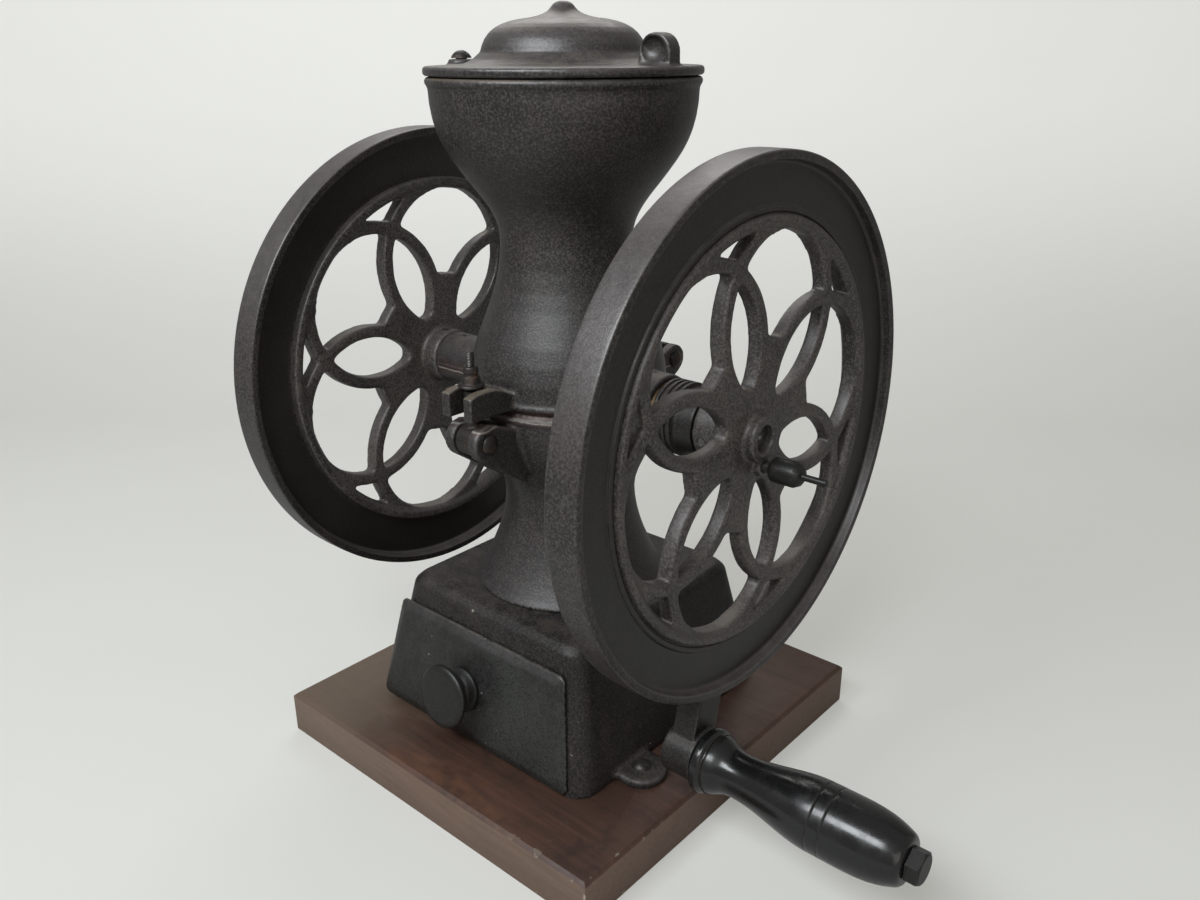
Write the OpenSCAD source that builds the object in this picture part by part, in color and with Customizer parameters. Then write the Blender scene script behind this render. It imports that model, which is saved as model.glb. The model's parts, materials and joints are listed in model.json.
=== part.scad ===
// Two-wheel counter coffee mill, in millimetres.
// Origin: middle of the underside of the wooden board. +X is the crank wheel side, -Y the drawer, +Z up.

/* [Board] */
// Board size along X
board_w = 243; // [200:1:300]
// Board size along Y
board_d = 250; // [200:1:300]
// Board thickness
board_t = 26; // [16:1:40]
// Bevel on the board's top edges
board_bevel = 2; // [0.5:0.5:5]

/* [Base casting] */
// Base width at its top
base_w = 138; // [130:1:160]
// Base depth at its top
base_d = 142; // [132:1:160]
// Base height
base_h = 80; // [66:1:110]
// How far each side spreads by the bottom
base_flare = 14; // [4:0.5:16]
// Radius of the base's upright corners
base_corner = 12; // [6:1:18]
// Bevel round the base's top
base_bevel = 4; // [1:0.5:7]
// Thickness of the base's side walls
base_wall = 7; // [4:0.5:10]
// Thickness of the base's roof
base_roof = 8; // [5:0.5:12]
// Radius of the coffee hole in the roof
drop_r = 34; // [26:1:36]
// Radius of the two screw lugs
lug_r = 14; // [9:0.5:15]
// Thickness of the screw lugs
lug_t = 5; // [4:0.5:9]
// Distance between the lugs along Y
lug_pitch = 86; // [60:1:100]
// Shank diameter of the wood screws
screw_d = 5; // [3:0.5:6]
// Head diameter of the wood screws
screw_head = 11; // [8:0.5:13]
// Length of the wood screws below their heads
screw_len = 24; // [14:1:30]

/* [Castings] */
// Height of the axle above the base
axle_up = 114; // [100:1:130]
// Foot radius of the column
foot_r = 57; // [52:0.5:62]
// Waist radius of the column
waist_r = 37.5; // [36:0.5:42]
// Height of the waist above the base
waist_up = 55; // [46:1:58]
// Radius of the body at the axle
body_r = 55; // [53:0.5:60]
// Neck radius
neck_r = 35.5; // [34:0.5:40]
// Height of the neck above the axle
neck_up = 84; // [80:1:92]
// Radius where the bowl's curve turns
turn_r = 53.5; // [48:0.5:56]
// Height of that turn above the axle
turn_up = 118; // [114:1:124]
// Bowl radius at the rim
bowl_r = 69; // [66:0.5:74]
// Height of the rim above the axle
rim_up = 165.5; // [156:0.5:176]
// Height of the rounded bead at the rim
rim_bead = 4.5; // [3:0.5:7]
// Casting wall thickness
wall = 6; // [4.5:0.5:7]
// Height of the recessed band at the parting line
seam_h = 5; // [2:0.5:8]
// Depth of the recessed band
seam_deep = 2.2; // [1:0.2:3]
// Length of the left bearing boss from the axis of the body
left_boss = 96; // [84:1:98]
// Radius of the left bearing boss
left_boss_r = 15.5; // [13:0.5:18]
// Length of the right bearing boss from the axis of the body
right_boss = 70; // [64:1:71]
// Radius of the right bearing boss
right_boss_r = 20.5; // [16:0.5:24]
// Diameter of the bolts that hold the column
column_bolt_d = 6; // [4:0.5:8]
// Distance of those bolts from the axis
column_bolt_r = 41; // [40:0.5:42]
// Length of those bolts inside the column
column_bolt_bite = 12; // [8:0.5:13]
// Height of their heads
column_bolt_head = 4; // [3:0.5:5]

/* [Lid] */
// Lid flange radius
lid_r = 71; // [67:0.5:76]
// Lid flange thickness
lid_t = 4.5; // [3:0.5:6]
// Radius of the lid's dome
dome_r = 42; // [36:0.5:48]
// Height of the dome above the flange
dome_h = 23; // [16:0.5:30]
// Height of the point on the dome
point_h = 7; // [4:0.5:12]
// Thickness of the dome
dome_t = 4; // [3:0.5:6]
// Distance of the pivot screw from the axis
pivot_r = 62; // [58:0.5:62.5]
// Direction of the pivot screw, from -X towards -Y
pivot_angle = 14; // [0:1:30]
// Shank diameter of the pivot screw
pivot_d = 6; // [4:0.5:7]
// Head diameter of the pivot screw
pivot_head = 11; // [9:0.5:12]
// Direction of the thumb tab, from +X towards +Y
tab_angle = 3; // [0:1:30]
// Width of the thumb tab, outwards from the dome
tab_w = 18; // [12:1:18]
// Height of the thumb tab
tab_h = 15; // [12:1:26]
// Thickness of the thumb tab
tab_t = 9.5; // [6:0.5:12]

/* [Shaft] */
// Shaft diameter
shaft_d = 14; // [12:0.5:15]
// Outer diameter of the bushings
bush_d = 21; // [18:0.5:24]
// Length of each bushing
bush_len = 22; // [14:1:26]
// Diameter of the cross pins in the hubs and the burr
pin_d = 4; // [3:0.5:5]

/* [Wheels] */
// Outer diameter of both wheels
wheel_d = 273; // [240:1:278]
// Distance between the outer faces of the two wheels
wheels_apart = 251; // [246:1:256]
// Distance of the middle between the wheels from the hopper's axis, towards +X
wheels_aside = 4; // [0:0.2:6]
// Width of the rim along the axle
rim_w = 18; // [14:0.5:22]
// Radial thickness of the rim's lip
lip = 4.5; // [3.5:0.5:9]
// Inner radius of the ring inside the band
ring_in = 101; // [90:1:102]
// Outer radius of the ring inside the band
ring_out = 108; // [104:1:114]
// Thickness of that ring along the axle
ring_t = 13; // [10:0.5:16]
// Thickness of the band's plate
band_t = 5; // [4:0.5:8]
// Depth of the band below the rim's outer face
band_deep = 5.5; // [2:0.5:6]
// Distance of the petal circles' centres from the axle
petal_c = 60; // [56:0.5:62]
// Middle radius of the petal circles
petal_r = 45.5; // [43:0.5:47]
// Width of the petal arms
arm_w = 7.5; // [5:0.5:8]
// Thickness of the petal arms along the axle
arm_t = 9; // [6:0.5:11]
// Radius of the solid middle of the wheels
heart_r = 50; // [44:1:54]
// Radius of the solid between the hub and the petal holes
heart_in = 26; // [24:1:30]
// Radius of the wheel hubs on the inner side
hub_r = 16.5; // [13:0.5:18]
// Radius of the hub's boss on the outer face
hub_face_r = 12; // [10:0.5:12]
// Turn of the left wheel's petals from +Y
left_turn = -9; // [-30:1:30]
// Turn of the crank wheel's petals from +Y
right_turn = -17.5; // [-30:0.5:30]

/* [Crank handle] */
// Distance of the handle from the axle
crank_r = 169.5; // [160:0.5:176]
// Direction of the handle, from +Y towards +Z
crank_angle = -104; // [-180:1:180]
// Radius of the boss that holds the handle
crank_boss_r = 14; // [11:0.5:16]
// Length of the grip
grip_len = 112; // [90:1:140]
// Largest radius of the grip
grip_r = 17.7; // [15:0.1:20]
// Radius of the grip's collar
collar_r = 17.3; // [14:0.1:19]
// Neck radius of the grip
grip_neck = 11.6; // [9:0.1:13]
// Diameter of the bolt through the grip
crank_bolt_d = 10; // [7:0.5:12]
// Width across the flats of its hexagon head
crank_hex = 15; // [12:0.5:19]
// Thickness of its hexagon head
crank_head = 7; // [4:0.5:9]

/* [Burrs and feed] */
// Radius of the grinding chamber
chamber_r = 34; // [33:0.5:36]
// Place of the chamber's far side along X
chamber_x1 = 36; // [34:0.5:38]
// Thickness of the fixed burr
fixed_t = 9.5; // [7:0.5:11]
// Thickness of the turning burr
turning_t = 10; // [7:0.5:12]
// Gap between the burrs
burr_gap = 0.8; // [0.4:0.1:2]
// Radius of the turning burr
turning_r = 31.5; // [28:0.5:32.5]
// Number of cutting grooves in each burr
grooves = 24; // [12:1:36]
// Radius of the feed worm
worm_r = 15; // [13:0.5:16]
// Number of turns of the feed worm
worm_turns = 2.25; // [1:0.25:3]
// Place of the feed trough's far end along X
trough_x0 = -32; // [-34:1:-26]
// Diameter of the screws that hold the fixed burr
burr_screw_d = 4; // [3:0.5:5]

/* [Grind adjuster] */
// Radius of the ribbed part of the adjusting nut
nut_rib_r = 19.5; // [17:0.5:22]
// Length of the ribbed part
nut_rib_len = 14; // [8:1:14]
// Radius of the plain part of the nut
nut_r = 17; // [16.5:0.5:20]
// Length of the plain part
nut_len = 11; // [6:1:12]
// Distance of the lock screw from the axle
lock_r = 16; // [15.5:0.5:17]
// Diameter of the lock screw
lock_d = 6; // [4:0.5:6.5]
// Radius of the lock screw's knob
lock_knob_r = 6.5; // [5:0.5:9]
// Length of the lock screw's knob
lock_knob_len = 17; // [10:1:22]
// Length of the slim pin on the knob
lock_pin_len = 13; // [6:1:18]

/* [Clamp and hinge] */
// Distance of the clamp's pin in front of the axle
clamp_y = 73; // [70:0.5:78]
// Depth of the clamp's pin below the axle
clamp_down = 11; // [10.5:0.5:14]
// Diameter of the clamp and hinge pins
clamp_pin_d = 8; // [6:0.5:9]
// Diameter of the swing bolt's rod
rod_d = 8; // [6:0.5:9]
// Diameter of the swing bolt's thread
thread_d = 4.5; // [4:0.5:6]
// Height of the nut's seat above the clamp's pin
seat_up = 28.5; // [26:0.5:32]
// Thickness of each clamp ear
ear_t = 6.5; // [4:0.5:8]
// Radius of the clamp's round ears
ear_r = 10; // [8:0.5:10]
// Half the gap between the ears
ear_gap = 5.5; // [5:0.5:7]
// Height of the clamp nut
clamp_nut_h = 11; // [9:0.5:20]
// Radius of the clamp nut's thin foot
clamp_nut_r = 7; // [6.5:0.5:10]
// Distance of the rear hinge pin behind the axle
hinge_y = 83; // [76:0.5:90]
// Radius of the rear hinge's ears
hinge_ear_r = 9; // [7:0.5:11]

/* [Drawer] */
// Width of the drawer box
drawer_w = 116; // [96:1:118]
// Height of the drawer box
drawer_h = 56; // [40:1:58]
// Depth of the drawer box
drawer_deep = 124; // [90:1:128]
// Sheet thickness of the drawer box
drawer_sheet = 1.5; // [1:0.25:3]
// Thickness of the drawer front
front_t = 4; // [3.5:0.5:9]
// Height of the drawer front
front_h = 65; // [62:1:72]
// Width of the drawer front at its top
front_top_w = 133; // [120:1:136]
// Width of the drawer front at its foot
front_foot_w = 152; // [128:1:160]
// Distance of the drawer front's middle from the drawer's
front_x = -3; // [-4:0.5:4]
// Width of the bevel round the drawer front
front_bevel = 5; // [2:0.5:8]
// Corner radius of the drawer front
front_corner = 4; // [2:0.5:8]
// Height of the lower rivets above the drawer's bottom
rivet_low = 14; // [8:0.5:20]
// Depth of the upper rivets below the drawer's top
rivet_high = 12; // [8:0.5:20]
// Diameter of the rivets that hold the drawer front
rivet_d = 4; // [3:0.5:5]
// Length of those rivets past their heads
rivet_len = 6.5; // [5:0.5:8]
// Diameter of their heads
rivet_head = 6.5; // [5.5:0.5:8]
// Height of their heads
rivet_head_h = 1.5; // [1:0.25:2]
// Radius of the drawer knob's disc
knob_r = 18; // [12:0.5:20]
// Length of the drawer knob
knob_len = 18; // [14:1:28]
// Distance of the drawer knob from the front's middle
knob_x = -5; // [-10:1:10]
// Neck radius of the drawer knob
knob_neck = 8; // [6:0.5:10]
// Radius of the drawer knob's foot
knob_foot = 13; // [10:0.5:16]
// Shank diameter of the drawer knob's screw
knob_screw_d = 5; // [4:0.5:6]

/* [Fits] */
// Radial clearance of a turning fit
run_fit = 0.05; // [0.02:0.01:0.1]
// Clearance between faces that slide past each other
side_gap = 0.4; // [0.3:0.05:1]
// Clearance round the drawer
drawer_gap = 1.5; // [1:0.25:3]

/* [Hidden] */
$fn = 64;

iron = "#2f2a28";
dark_iron = "#1f1d1c";
steel = "#8b8682";
rust = "#6b4a3a";
brass = "#9a7a3c";
lacquer = "#141313";
oak = "#7a4a2e";
tin = "#b9b6ae";

base_z = board_t;
roof_z = base_z + base_h;
axle_z = roof_z + axle_up;
rim_z = axle_z + rim_up;
// A length that reaches past everything a half space cuts
beyond = 200;
wheel_r = wheel_d / 2;
face_x = wheels_apart / 2 + wheels_aside;
mid_x = face_x - rim_w / 2;
left_face_x = wheels_aside - wheels_apart / 2;
left_mid_x = left_face_x + rim_w / 2;
shaft_r = shaft_d / 2;
pin_r = pin_d / 2;
bead_r = body_r + 1.2;
seam_r = body_r - seam_deep;
clamp_z = axle_z - clamp_down;
seat_z = clamp_z + seat_up;
lid_z = rim_z + side_gap;
flange_z = lid_z + lid_t;
pivot_x = -pivot_r * cos(pivot_angle);
pivot_y = -pivot_r * sin(pivot_angle);
pad_r = pivot_head / 2 + 1.5;
pad_h = 3;
slope = atan(base_flare / (base_h - base_bevel));
washer_t = 1.6;
nut_x0 = right_boss + 2 * side_gap + washer_t;
nut_x1 = nut_x0 + nut_rib_len + nut_len;
crank_y = crank_r * cos(crank_angle);
crank_z = axle_z + crank_r * sin(crank_angle);
grip_x = face_x + washer_t + side_gap;
lug_x = base_w / 2 + base_flare + lug_r / 2;
screw_deep = min(screw_len, board_t);
fixed_x = chamber_x1 - fixed_t;
turning_x = fixed_x - burr_gap - turning_t;
chamber_x0 = turning_x - 0.6;
worm_space = worm_r + 1.5;
left_pin_x = left_mid_x + 9;
right_pin_x = nut_x1 + 6;
lock_angle = right_turn - 60;
lock_x = face_x + 4;
drawer_z = board_t + side_gap;
box_y = -base_d / 2 + 4;
plate_z = base_z + 1.5;
plate_y = -base_d / 2 - base_flare - side_gap + 1.5 * tan(slope);
knob_up = front_h / 2 - 2;
rib_x = drawer_w / 2 - 12;

// Point on a cubic curve with four control points
function bend(a, b, c, d, t) =
    pow(1 - t, 3) * a + 3 * t * pow(1 - t, 2) * b + 3 * t * t * (1 - t) * c + pow(t, 3) * d;

// Points along that curve, the first left out
function curve(a, b, c, d, n = 8) = [for (i = [1:n]) bend(a, b, c, d, i / n)];

// Outline of the column, radius against height above the base, inset by a wall
function column_line(inset) = concat(
    [[foot_r - inset, 0]],
    curve([foot_r - inset, 0], [foot_r - 9 - inset, 12], [waist_r - inset, waist_up - 20],
        [waist_r - inset, waist_up]),
    curve([waist_r - inset, waist_up], [waist_r - inset, waist_up + 16],
        [body_r - inset, axle_up - 26], [body_r - inset, axle_up - seam_h / 2 - 3]));

// Outline of the body, neck and bowl, radius against height above the axle, inset by a wall
function bowl_line(inset) = concat(
    [[body_r - inset, seam_h / 2 + 3]],
    curve([body_r - inset, seam_h / 2 + 3], [body_r - inset, 34], [neck_r - inset, neck_up - 34],
        [neck_r - inset, neck_up]),
    curve([neck_r - inset, neck_up], [neck_r - inset, neck_up + 14], [turn_r - 8 - inset, turn_up - 11],
        [turn_r - inset, turn_up]),
    curve([turn_r - inset, turn_up], [turn_r + 7.3 - inset, turn_up + 10], [bowl_r - inset, turn_up + 20],
        [bowl_r - inset, rim_up - rim_bead]));

// Cylinder along +X from x0 to x1, about the axle
module on_axle(r, x0, x1) {
    translate([x0, 0, axle_z]) rotate([0, 90, 0]) cylinder(r = r, h = x1 - x0);
}

// Cylinder along +X about any line, from x0 to x1
module along_x(r, x0, x1, y, z) {
    translate([x0, y, z]) rotate([0, 90, 0]) cylinder(r = r, h = x1 - x0);
}

// Turns about the axle, from +Y towards +Z
module about_axle(a) {
    translate([0, 0, axle_z]) rotate([a, 0, 0]) translate([0, 0, -axle_z]) children();
}

// Everything above the parting plane
module above() {
    translate([-beyond, -beyond, axle_z]) cube(2 * beyond);
}

// Everything below the parting plane
module below() {
    translate([-beyond, -beyond, axle_z - 2 * beyond]) cube(2 * beyond);
}

// Both bearing bosses, whole
module bosses() {
    on_axle(left_boss_r, -left_boss, -body_r + 14);
    on_axle(right_boss_r, chamber_x1 + 4, right_boss);
}

// Bores for the shaft and its bushings
module shaft_bores() {
    on_axle(bush_d / 2, -left_boss - 1, -left_boss + bush_len);
    on_axle(bush_d / 2, right_boss - bush_len, right_boss + 1);
    on_axle(shaft_r + 1, -left_boss, right_boss);
}

// The worm's trough and the grinding chamber
module grind_space() {
    on_axle(worm_space, trough_x0, chamber_x0 + 1);
    on_axle(chamber_r, chamber_x0, chamber_x1);
}

// Round corners of a slab of the given half sizes
module slab(half_w, half_d, r, h) {
    for (sx = [-1, 1], sy = [-1, 1])
        translate([sx * (half_w - r), sy * (half_d - r), 0]) cylinder(r = r, h = h, $fn = 32);
}

// Round slotted head of a screw, flat side down at z = 0
module round_head(r, h) {
    ball = (r * r + h * h) / (2 * h);
    difference() {
        intersection() {
            translate([0, 0, h - ball]) sphere(r = ball);
            cylinder(r = r, h = h);
        }
        translate([-r, -0.6, h * 0.55]) cube([2 * r, 1.2, h]);
    }
}

// Places of the four base screws, at the top of the board
module at_lugs() {
    for (s = [-1, 1]) translate([s * lug_x, -s * lug_pitch / 2, base_z]) children();
}

module base_board() {
    color(oak) difference() {
        translate([-board_w / 2, -board_d / 2, 0]) union() {
            cube([board_w, board_d, board_t - board_bevel]);
            hull() {
                translate([0, 0, board_t - board_bevel - 0.1]) cube([board_w, board_d, 0.1]);
                translate([board_bevel, board_bevel, board_t - 0.1])
                    cube([board_w - 2 * board_bevel, board_d - 2 * board_bevel, 0.1]);
            }
        }
        at_lugs() translate([0, 0, lug_t - screw_deep]) cylinder(d = screw_d, h = screw_deep);
    }
}

// Outside of the base, without its lugs
module base_block() {
    translate([0, 0, base_z]) hull() {
        slab(base_w / 2 + base_flare, base_d / 2 + base_flare, base_corner, 0.1);
        translate([0, 0, base_h - base_bevel - 0.1]) slab(base_w / 2, base_d / 2, base_corner, 0.1);
        translate([0, 0, base_h - 0.1])
            slab(base_w / 2 - base_bevel, base_d / 2 - base_bevel, base_corner - base_bevel / 2, 0.1);
    }
}

// Hollow of the base, open at the foot
module base_hollow() {
    inner_r = max(base_corner - base_wall, 2);
    translate([0, 0, base_z - 1]) hull() {
        slab(base_w / 2 + base_flare - base_wall, base_d / 2 + base_flare - base_wall, inner_r, 0.1);
        translate([0, 0, base_h - base_roof + 0.9])
            slab(base_w / 2 - base_wall, base_d / 2 - base_wall, inner_r, 0.1);
    }
}

module base_casting() {
    color(iron) difference() {
        union() {
            base_block();
            at_lugs() cylinder(r = lug_r, h = lug_t);
            for (s = [-1, 1])
                translate([s * (lug_x - lug_r / 2 - 1) - lug_r / 2 - 1, -s * lug_pitch / 2 - lug_r, base_z])
                    cube([lug_r + 2, 2 * lug_r, lug_t]);
        }
        base_hollow();
        translate([-drawer_w / 2 - drawer_gap, -base_d, base_z - 1])
            cube([drawer_w + 2 * drawer_gap, base_d, drawer_h + side_gap + drawer_gap + 1]);
        translate([0, 0, roof_z - base_roof - 1]) cylinder(r = drop_r, h = base_roof + 2);
        for (a = [45:90:315]) rotate(a) translate([column_bolt_r, 0, roof_z - base_roof - 1])
            cylinder(d = column_bolt_d, h = base_roof + 2);
        at_lugs() translate([0, 0, -1]) cylinder(d = screw_d, h = lug_t + 2);
    }
}

// Wood screws that hold the base to the board
module base_screws() {
    color(steel) at_lugs() translate([0, 0, lug_t]) {
        translate([0, 0, -screw_deep]) cylinder(d = screw_d, h = screw_deep);
        round_head(screw_head / 2, screw_head * 0.3);
    }
}

// Hexagon bolts from inside the base up into the column
module column_bolts() {
    color(steel) for (a = [45:90:315]) rotate(a) translate([column_bolt_r, 0, roof_z - base_roof]) {
        cylinder(d = column_bolt_d, h = base_roof + column_bolt_bite);
        translate([0, 0, -column_bolt_head])
            cylinder(d = column_bolt_d * 1.8, h = column_bolt_head, $fn = 6);
    }
}

// Ear about a line along X, joined to a block at the casting
module ear(x0, x1, y, z, r, root_y, root_z, root_h) {
    hull() {
        translate([x0, y, z]) rotate([0, 90, 0]) cylinder(r = r, h = x1 - x0, $fn = 48);
        translate([x0, root_y, root_z]) cube([x1 - x0, 1, root_h]);
    }
}

// Inside of the column, up to the parting plane
module column_hollow() {
    translate([0, 0, roof_z]) rotate_extrude($fn = 96) polygon(concat(
        [[0, -1], [foot_r - wall, -1]], column_line(wall), [[0, axle_up - seam_h / 2 - 3]]));
}

module lower_casting() {
    color(iron) difference() {
        union() {
            difference() {
                translate([0, 0, roof_z]) rotate_extrude($fn = 96) polygon(concat([[0, 0]], column_line(0),
                    [[bead_r, axle_up - seam_h / 2 - 2], [bead_r, axle_up - seam_h / 2],
                    [seam_r, axle_up - seam_h / 2], [seam_r, axle_up], [0, axle_up]]));
                intersection() {
                    column_hollow();
                    union() {
                        translate([-80, -80, roof_z - 2]) cube([160, 160, axle_up - chamber_r - wall + 2]);
                        translate([chamber_x0 + 1, -chamber_r * 0.76, roof_z])
                            cube([fixed_x - chamber_x0, chamber_r * 1.52, axle_up - 8]);
                        translate([-80, -80, roof_z])
                            cube([74 + chamber_x0, 160, axle_up - worm_space - wall]);
                    }
                }
            }
            intersection() {
                bosses();
                below();
            }
            for (a = [45:90:315]) rotate(a) translate([column_bolt_r, 0, roof_z])
                cylinder(r = column_bolt_d / 2 + 2.5, h = column_bolt_bite + 2);
            for (s = [-1, 1])
                ear(min(s * ear_gap, s * (ear_gap + ear_t)), max(s * ear_gap, s * (ear_gap + ear_t)),
                    -clamp_y, clamp_z, ear_r, -body_r + 8, clamp_z - 30, 30);
            difference() {
                for (s = [-1, 1])
                    ear(min(s * (ear_gap + side_gap), s * (ear_gap + side_gap + ear_t)),
                        max(s * (ear_gap + side_gap), s * (ear_gap + side_gap + ear_t)),
                        hinge_y, axle_z, hinge_ear_r, body_r - 9, axle_z - 34, 30);
                translate([-20, 0, axle_z]) cube([40, bead_r + 1.3, 40]);
            }
        }
        grind_space();
        shaft_bores();
        along_x(clamp_pin_d / 2, -40, 40, -clamp_y, clamp_z);
        along_x(clamp_pin_d / 2, -40, 40, hinge_y, axle_z);
        for (a = [45:90:315]) rotate(a) translate([column_bolt_r, 0, roof_z - 1])
            cylinder(d = column_bolt_d, h = column_bolt_bite + 1);
        at_burr_screws() cylinder(d = burr_screw_d, h = fixed_t + 8);
    }
}

// Inside of the bowl and neck, down to the floor over the burrs
module bowl_hollow() {
    translate([0, 0, axle_z]) rotate_extrude($fn = 96) polygon(concat(
        [[0, chamber_r + wall], [body_r - wall - 22, chamber_r + wall + 1]],
        [for (p = bowl_line(wall)) if (p[1] > chamber_r + wall + 5) p],
        [[bowl_r - wall, rim_up + 1], [0, rim_up + 1]]));
}

module upper_casting() {
    color(iron) difference() {
        union() {
            difference() {
                translate([0, 0, axle_z]) rotate_extrude($fn = 96) polygon(concat(
                    [[0, 0], [seam_r, 0], [seam_r, seam_h / 2], [bead_r, seam_h / 2],
                    [bead_r, seam_h / 2 + 2]], bowl_line(0),
                    [[bowl_r + 1.4, rim_up - rim_bead + 1], [bowl_r + 1.4, rim_up - 1.2],
                    [bowl_r, rim_up], [0, rim_up]]));
                bowl_hollow();
                translate([trough_x0, -worm_space, axle_z])
                    cube([chamber_x0 - 5 - trough_x0, 2 * worm_space, chamber_r + wall + 6]);
            }
            intersection() {
                bosses();
                above();
            }
            fork();
            difference() {
                ear(-ear_gap, ear_gap, hinge_y, axle_z, hinge_ear_r, body_r - 9,
                    axle_z + seam_h / 2 + 1, 14);
                translate([-20, 0, axle_z - 30]) cube([40, bead_r + 1.3, 30 + seam_h / 2]);
            }
            lid_boss();
        }
        grind_space();
        shaft_bores();
        along_x(clamp_pin_d / 2, -40, 40, hinge_y, axle_z);
        translate([pivot_x, pivot_y, rim_z - 16]) cylinder(d = pivot_d, h = 20);
        for (x = [-left_boss + bush_len / 2, right_boss - bush_len / 2])
            translate([x, 0, axle_z + bush_d / 2 - 1]) cylinder(d = 3.5, h = 20);
    }
}

// Forked lug that the swing bolt drops into, its top rounded about the bolt's pin
module fork() {
    half = ear_gap + ear_t - 1;
    difference() {
        intersection() {
            translate([-half, -clamp_y - 11, axle_z + seam_h / 2])
                cube([2 * half, clamp_y + 11 - body_r + 12, 60]);
            along_x(seat_up, -40, 40, -clamp_y, clamp_z);
        }
        translate([-rod_d / 2 - 1.2, -clamp_y - 20, axle_z - 10])
            cube([rod_d + 2.4, 20 + rod_d / 2 + 1.5, 60]);
    }
}

// Boss inside the bowl for the lid's pivot screw
module lid_boss() {
    boss_r = pivot_d / 2 + 4;
    intersection() {
        translate([pivot_x, pivot_y, rim_z - 34]) union() {
            translate([0, 0, 14]) cylinder(r = boss_r, h = 20);
            cylinder(r1 = 1, r2 = boss_r, h = 14);
        }
        translate([0, 0, rim_z - 40]) cylinder(r = bowl_r - 1, h = 40);
    }
}

// Pin along X with a domed head on each end
module headed_pin(y, z, half) {
    along_x(clamp_pin_d / 2, -half, half, y, z);
    for (s = [-1, 1]) translate([s * half, y, z]) rotate([0, s * 90, 0]) intersection() {
        cylinder(r = clamp_pin_d / 2 + 1.2, h = 3);
        translate([0, 0, -4]) sphere(r = 7);
    }
}

module rear_hinge_pin() {
    color(steel) headed_pin(hinge_y, axle_z, ear_gap + ear_t + side_gap);
}

module clamp_pin() {
    color(steel) headed_pin(-clamp_y, clamp_z, ear_gap + ear_t);
}

module swing_bolt() {
    color(rust) difference() {
        union() {
            along_x(ear_r - 1.5, -ear_gap + side_gap, ear_gap - side_gap, -clamp_y, clamp_z);
            translate([0, -clamp_y, clamp_z]) cylinder(d = rod_d, h = seat_up - 1);
            translate([0, -clamp_y, clamp_z]) cylinder(d = thread_d, h = seat_up + clamp_nut_h + 8);
        }
        along_x(clamp_pin_d / 2 + run_fit, -40, 40, -clamp_y, clamp_z);
    }
}

// Round thimble of a nut on a thin foot, with a groove for the thumbnail round it
module clamp_nut() {
    h = clamp_nut_h;
    top_r = thread_d / 2 + 1.2;
    color(dark_iron) translate([0, -clamp_y, seat_z + side_gap]) difference() {
        rotate_extrude() polygon([[0, 0], [clamp_nut_r - 0.5, 0], [clamp_nut_r, 0.5],
            [clamp_nut_r - 0.5, 1.6], [top_r + 1.7, 2.2], [top_r + 1, h * 0.5], [top_r + 0.2, h * 0.55],
            [top_r + 0.2, h * 0.65], [top_r + 0.7, h * 0.7], [top_r + 0.5, h - 1], [top_r, h], [0, h]]);
        translate([0, 0, -1]) cylinder(r = thread_d / 2 + run_fit, h = h + 2);
    }
}

// Outline of the lid's dome, radius against height above the flange, inset by a thickness
function dome_line(inset) = concat(
    [[dome_r - inset, 6]],
    curve([dome_r - inset, 6], [dome_r - 2 - inset, dome_h - 7], [dome_r - 9 - inset, dome_h - inset - 2],
        [dome_r * 0.4, dome_h - inset - 0.7]));

module lid() {
    color(iron) difference() {
        union() {
            translate([0, 0, lid_z]) rotate_extrude($fn = 96) polygon(
                [[0, 0], [lid_r - 0.8, 0], [lid_r, 0.8], [lid_r, lid_t - 1], [lid_r - 1.2, lid_t],
                [dome_r + 9, lid_t + 0.8], [dome_r + 4, lid_t + 3], [dome_r + 1, lid_t + 5.6],
                [dome_r, lid_t + 6], [0, lid_t + 6]]);
            translate([0, 0, flange_z]) rotate_extrude($fn = 96) polygon(concat(
                [[0, 5], [dome_r, 5]], dome_line(0),
                curve([dome_r * 0.4, dome_h - 0.7], [10, dome_h + 0.6], [7.4, dome_h + 2],
                    [6, dome_h + 4.3], 5),
                curve([6, dome_h + 4.3], [5, dome_h + point_h - 1.2], [3.6, dome_h + point_h],
                    [1.2, dome_h + point_h], 4),
                [[0, dome_h + point_h]]));
            translate([pivot_x, pivot_y, lid_z]) cylinder(r = pad_r, h = lid_t + pad_h);
            thumb_tab();
        }
        translate([0, 0, lid_z - 1]) cylinder(r = dome_r - dome_t, h = lid_t + 7, $fn = 96);
        translate([0, 0, flange_z]) rotate_extrude($fn = 96) polygon(concat(
            [[0, 5], [dome_r - dome_t, 5]], dome_line(dome_t), [[0, dome_h - dome_t]]));
        translate([pivot_x, pivot_y, lid_z - 1]) cylinder(r = pivot_d / 2 + run_fit, h = lid_t + pad_h + 2);
    }
}

// Arch that the thumb pushes, standing outwards from the dome and cupped on its -Y side
module thumb_tab() {
    rotate(tab_angle) translate([lid_r - 3 - tab_w / 2, tab_t / 2, flange_z]) difference() {
        rotate([90, 0, 0]) linear_extrude(tab_t) union() {
            translate([-tab_w / 2, -2]) square([tab_w, tab_h - tab_w / 2 + 2]);
            translate([0, tab_h - tab_w / 2]) circle(d = tab_w);
        }
        translate([-1, -tab_t, tab_h * 0.5]) scale([1, 0.62, 0.85]) sphere(r = tab_w * 0.38);
    }
}

module lid_pivot_screw() {
    reach = lid_t + pad_h + 2 * side_gap + 16;
    color(steel) translate([pivot_x, pivot_y, lid_z + lid_t + pad_h + side_gap]) {
        translate([0, 0, -reach]) cylinder(d = pivot_d, h = reach);
        round_head(pivot_head / 2, pivot_head * 0.36);
    }
}

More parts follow.
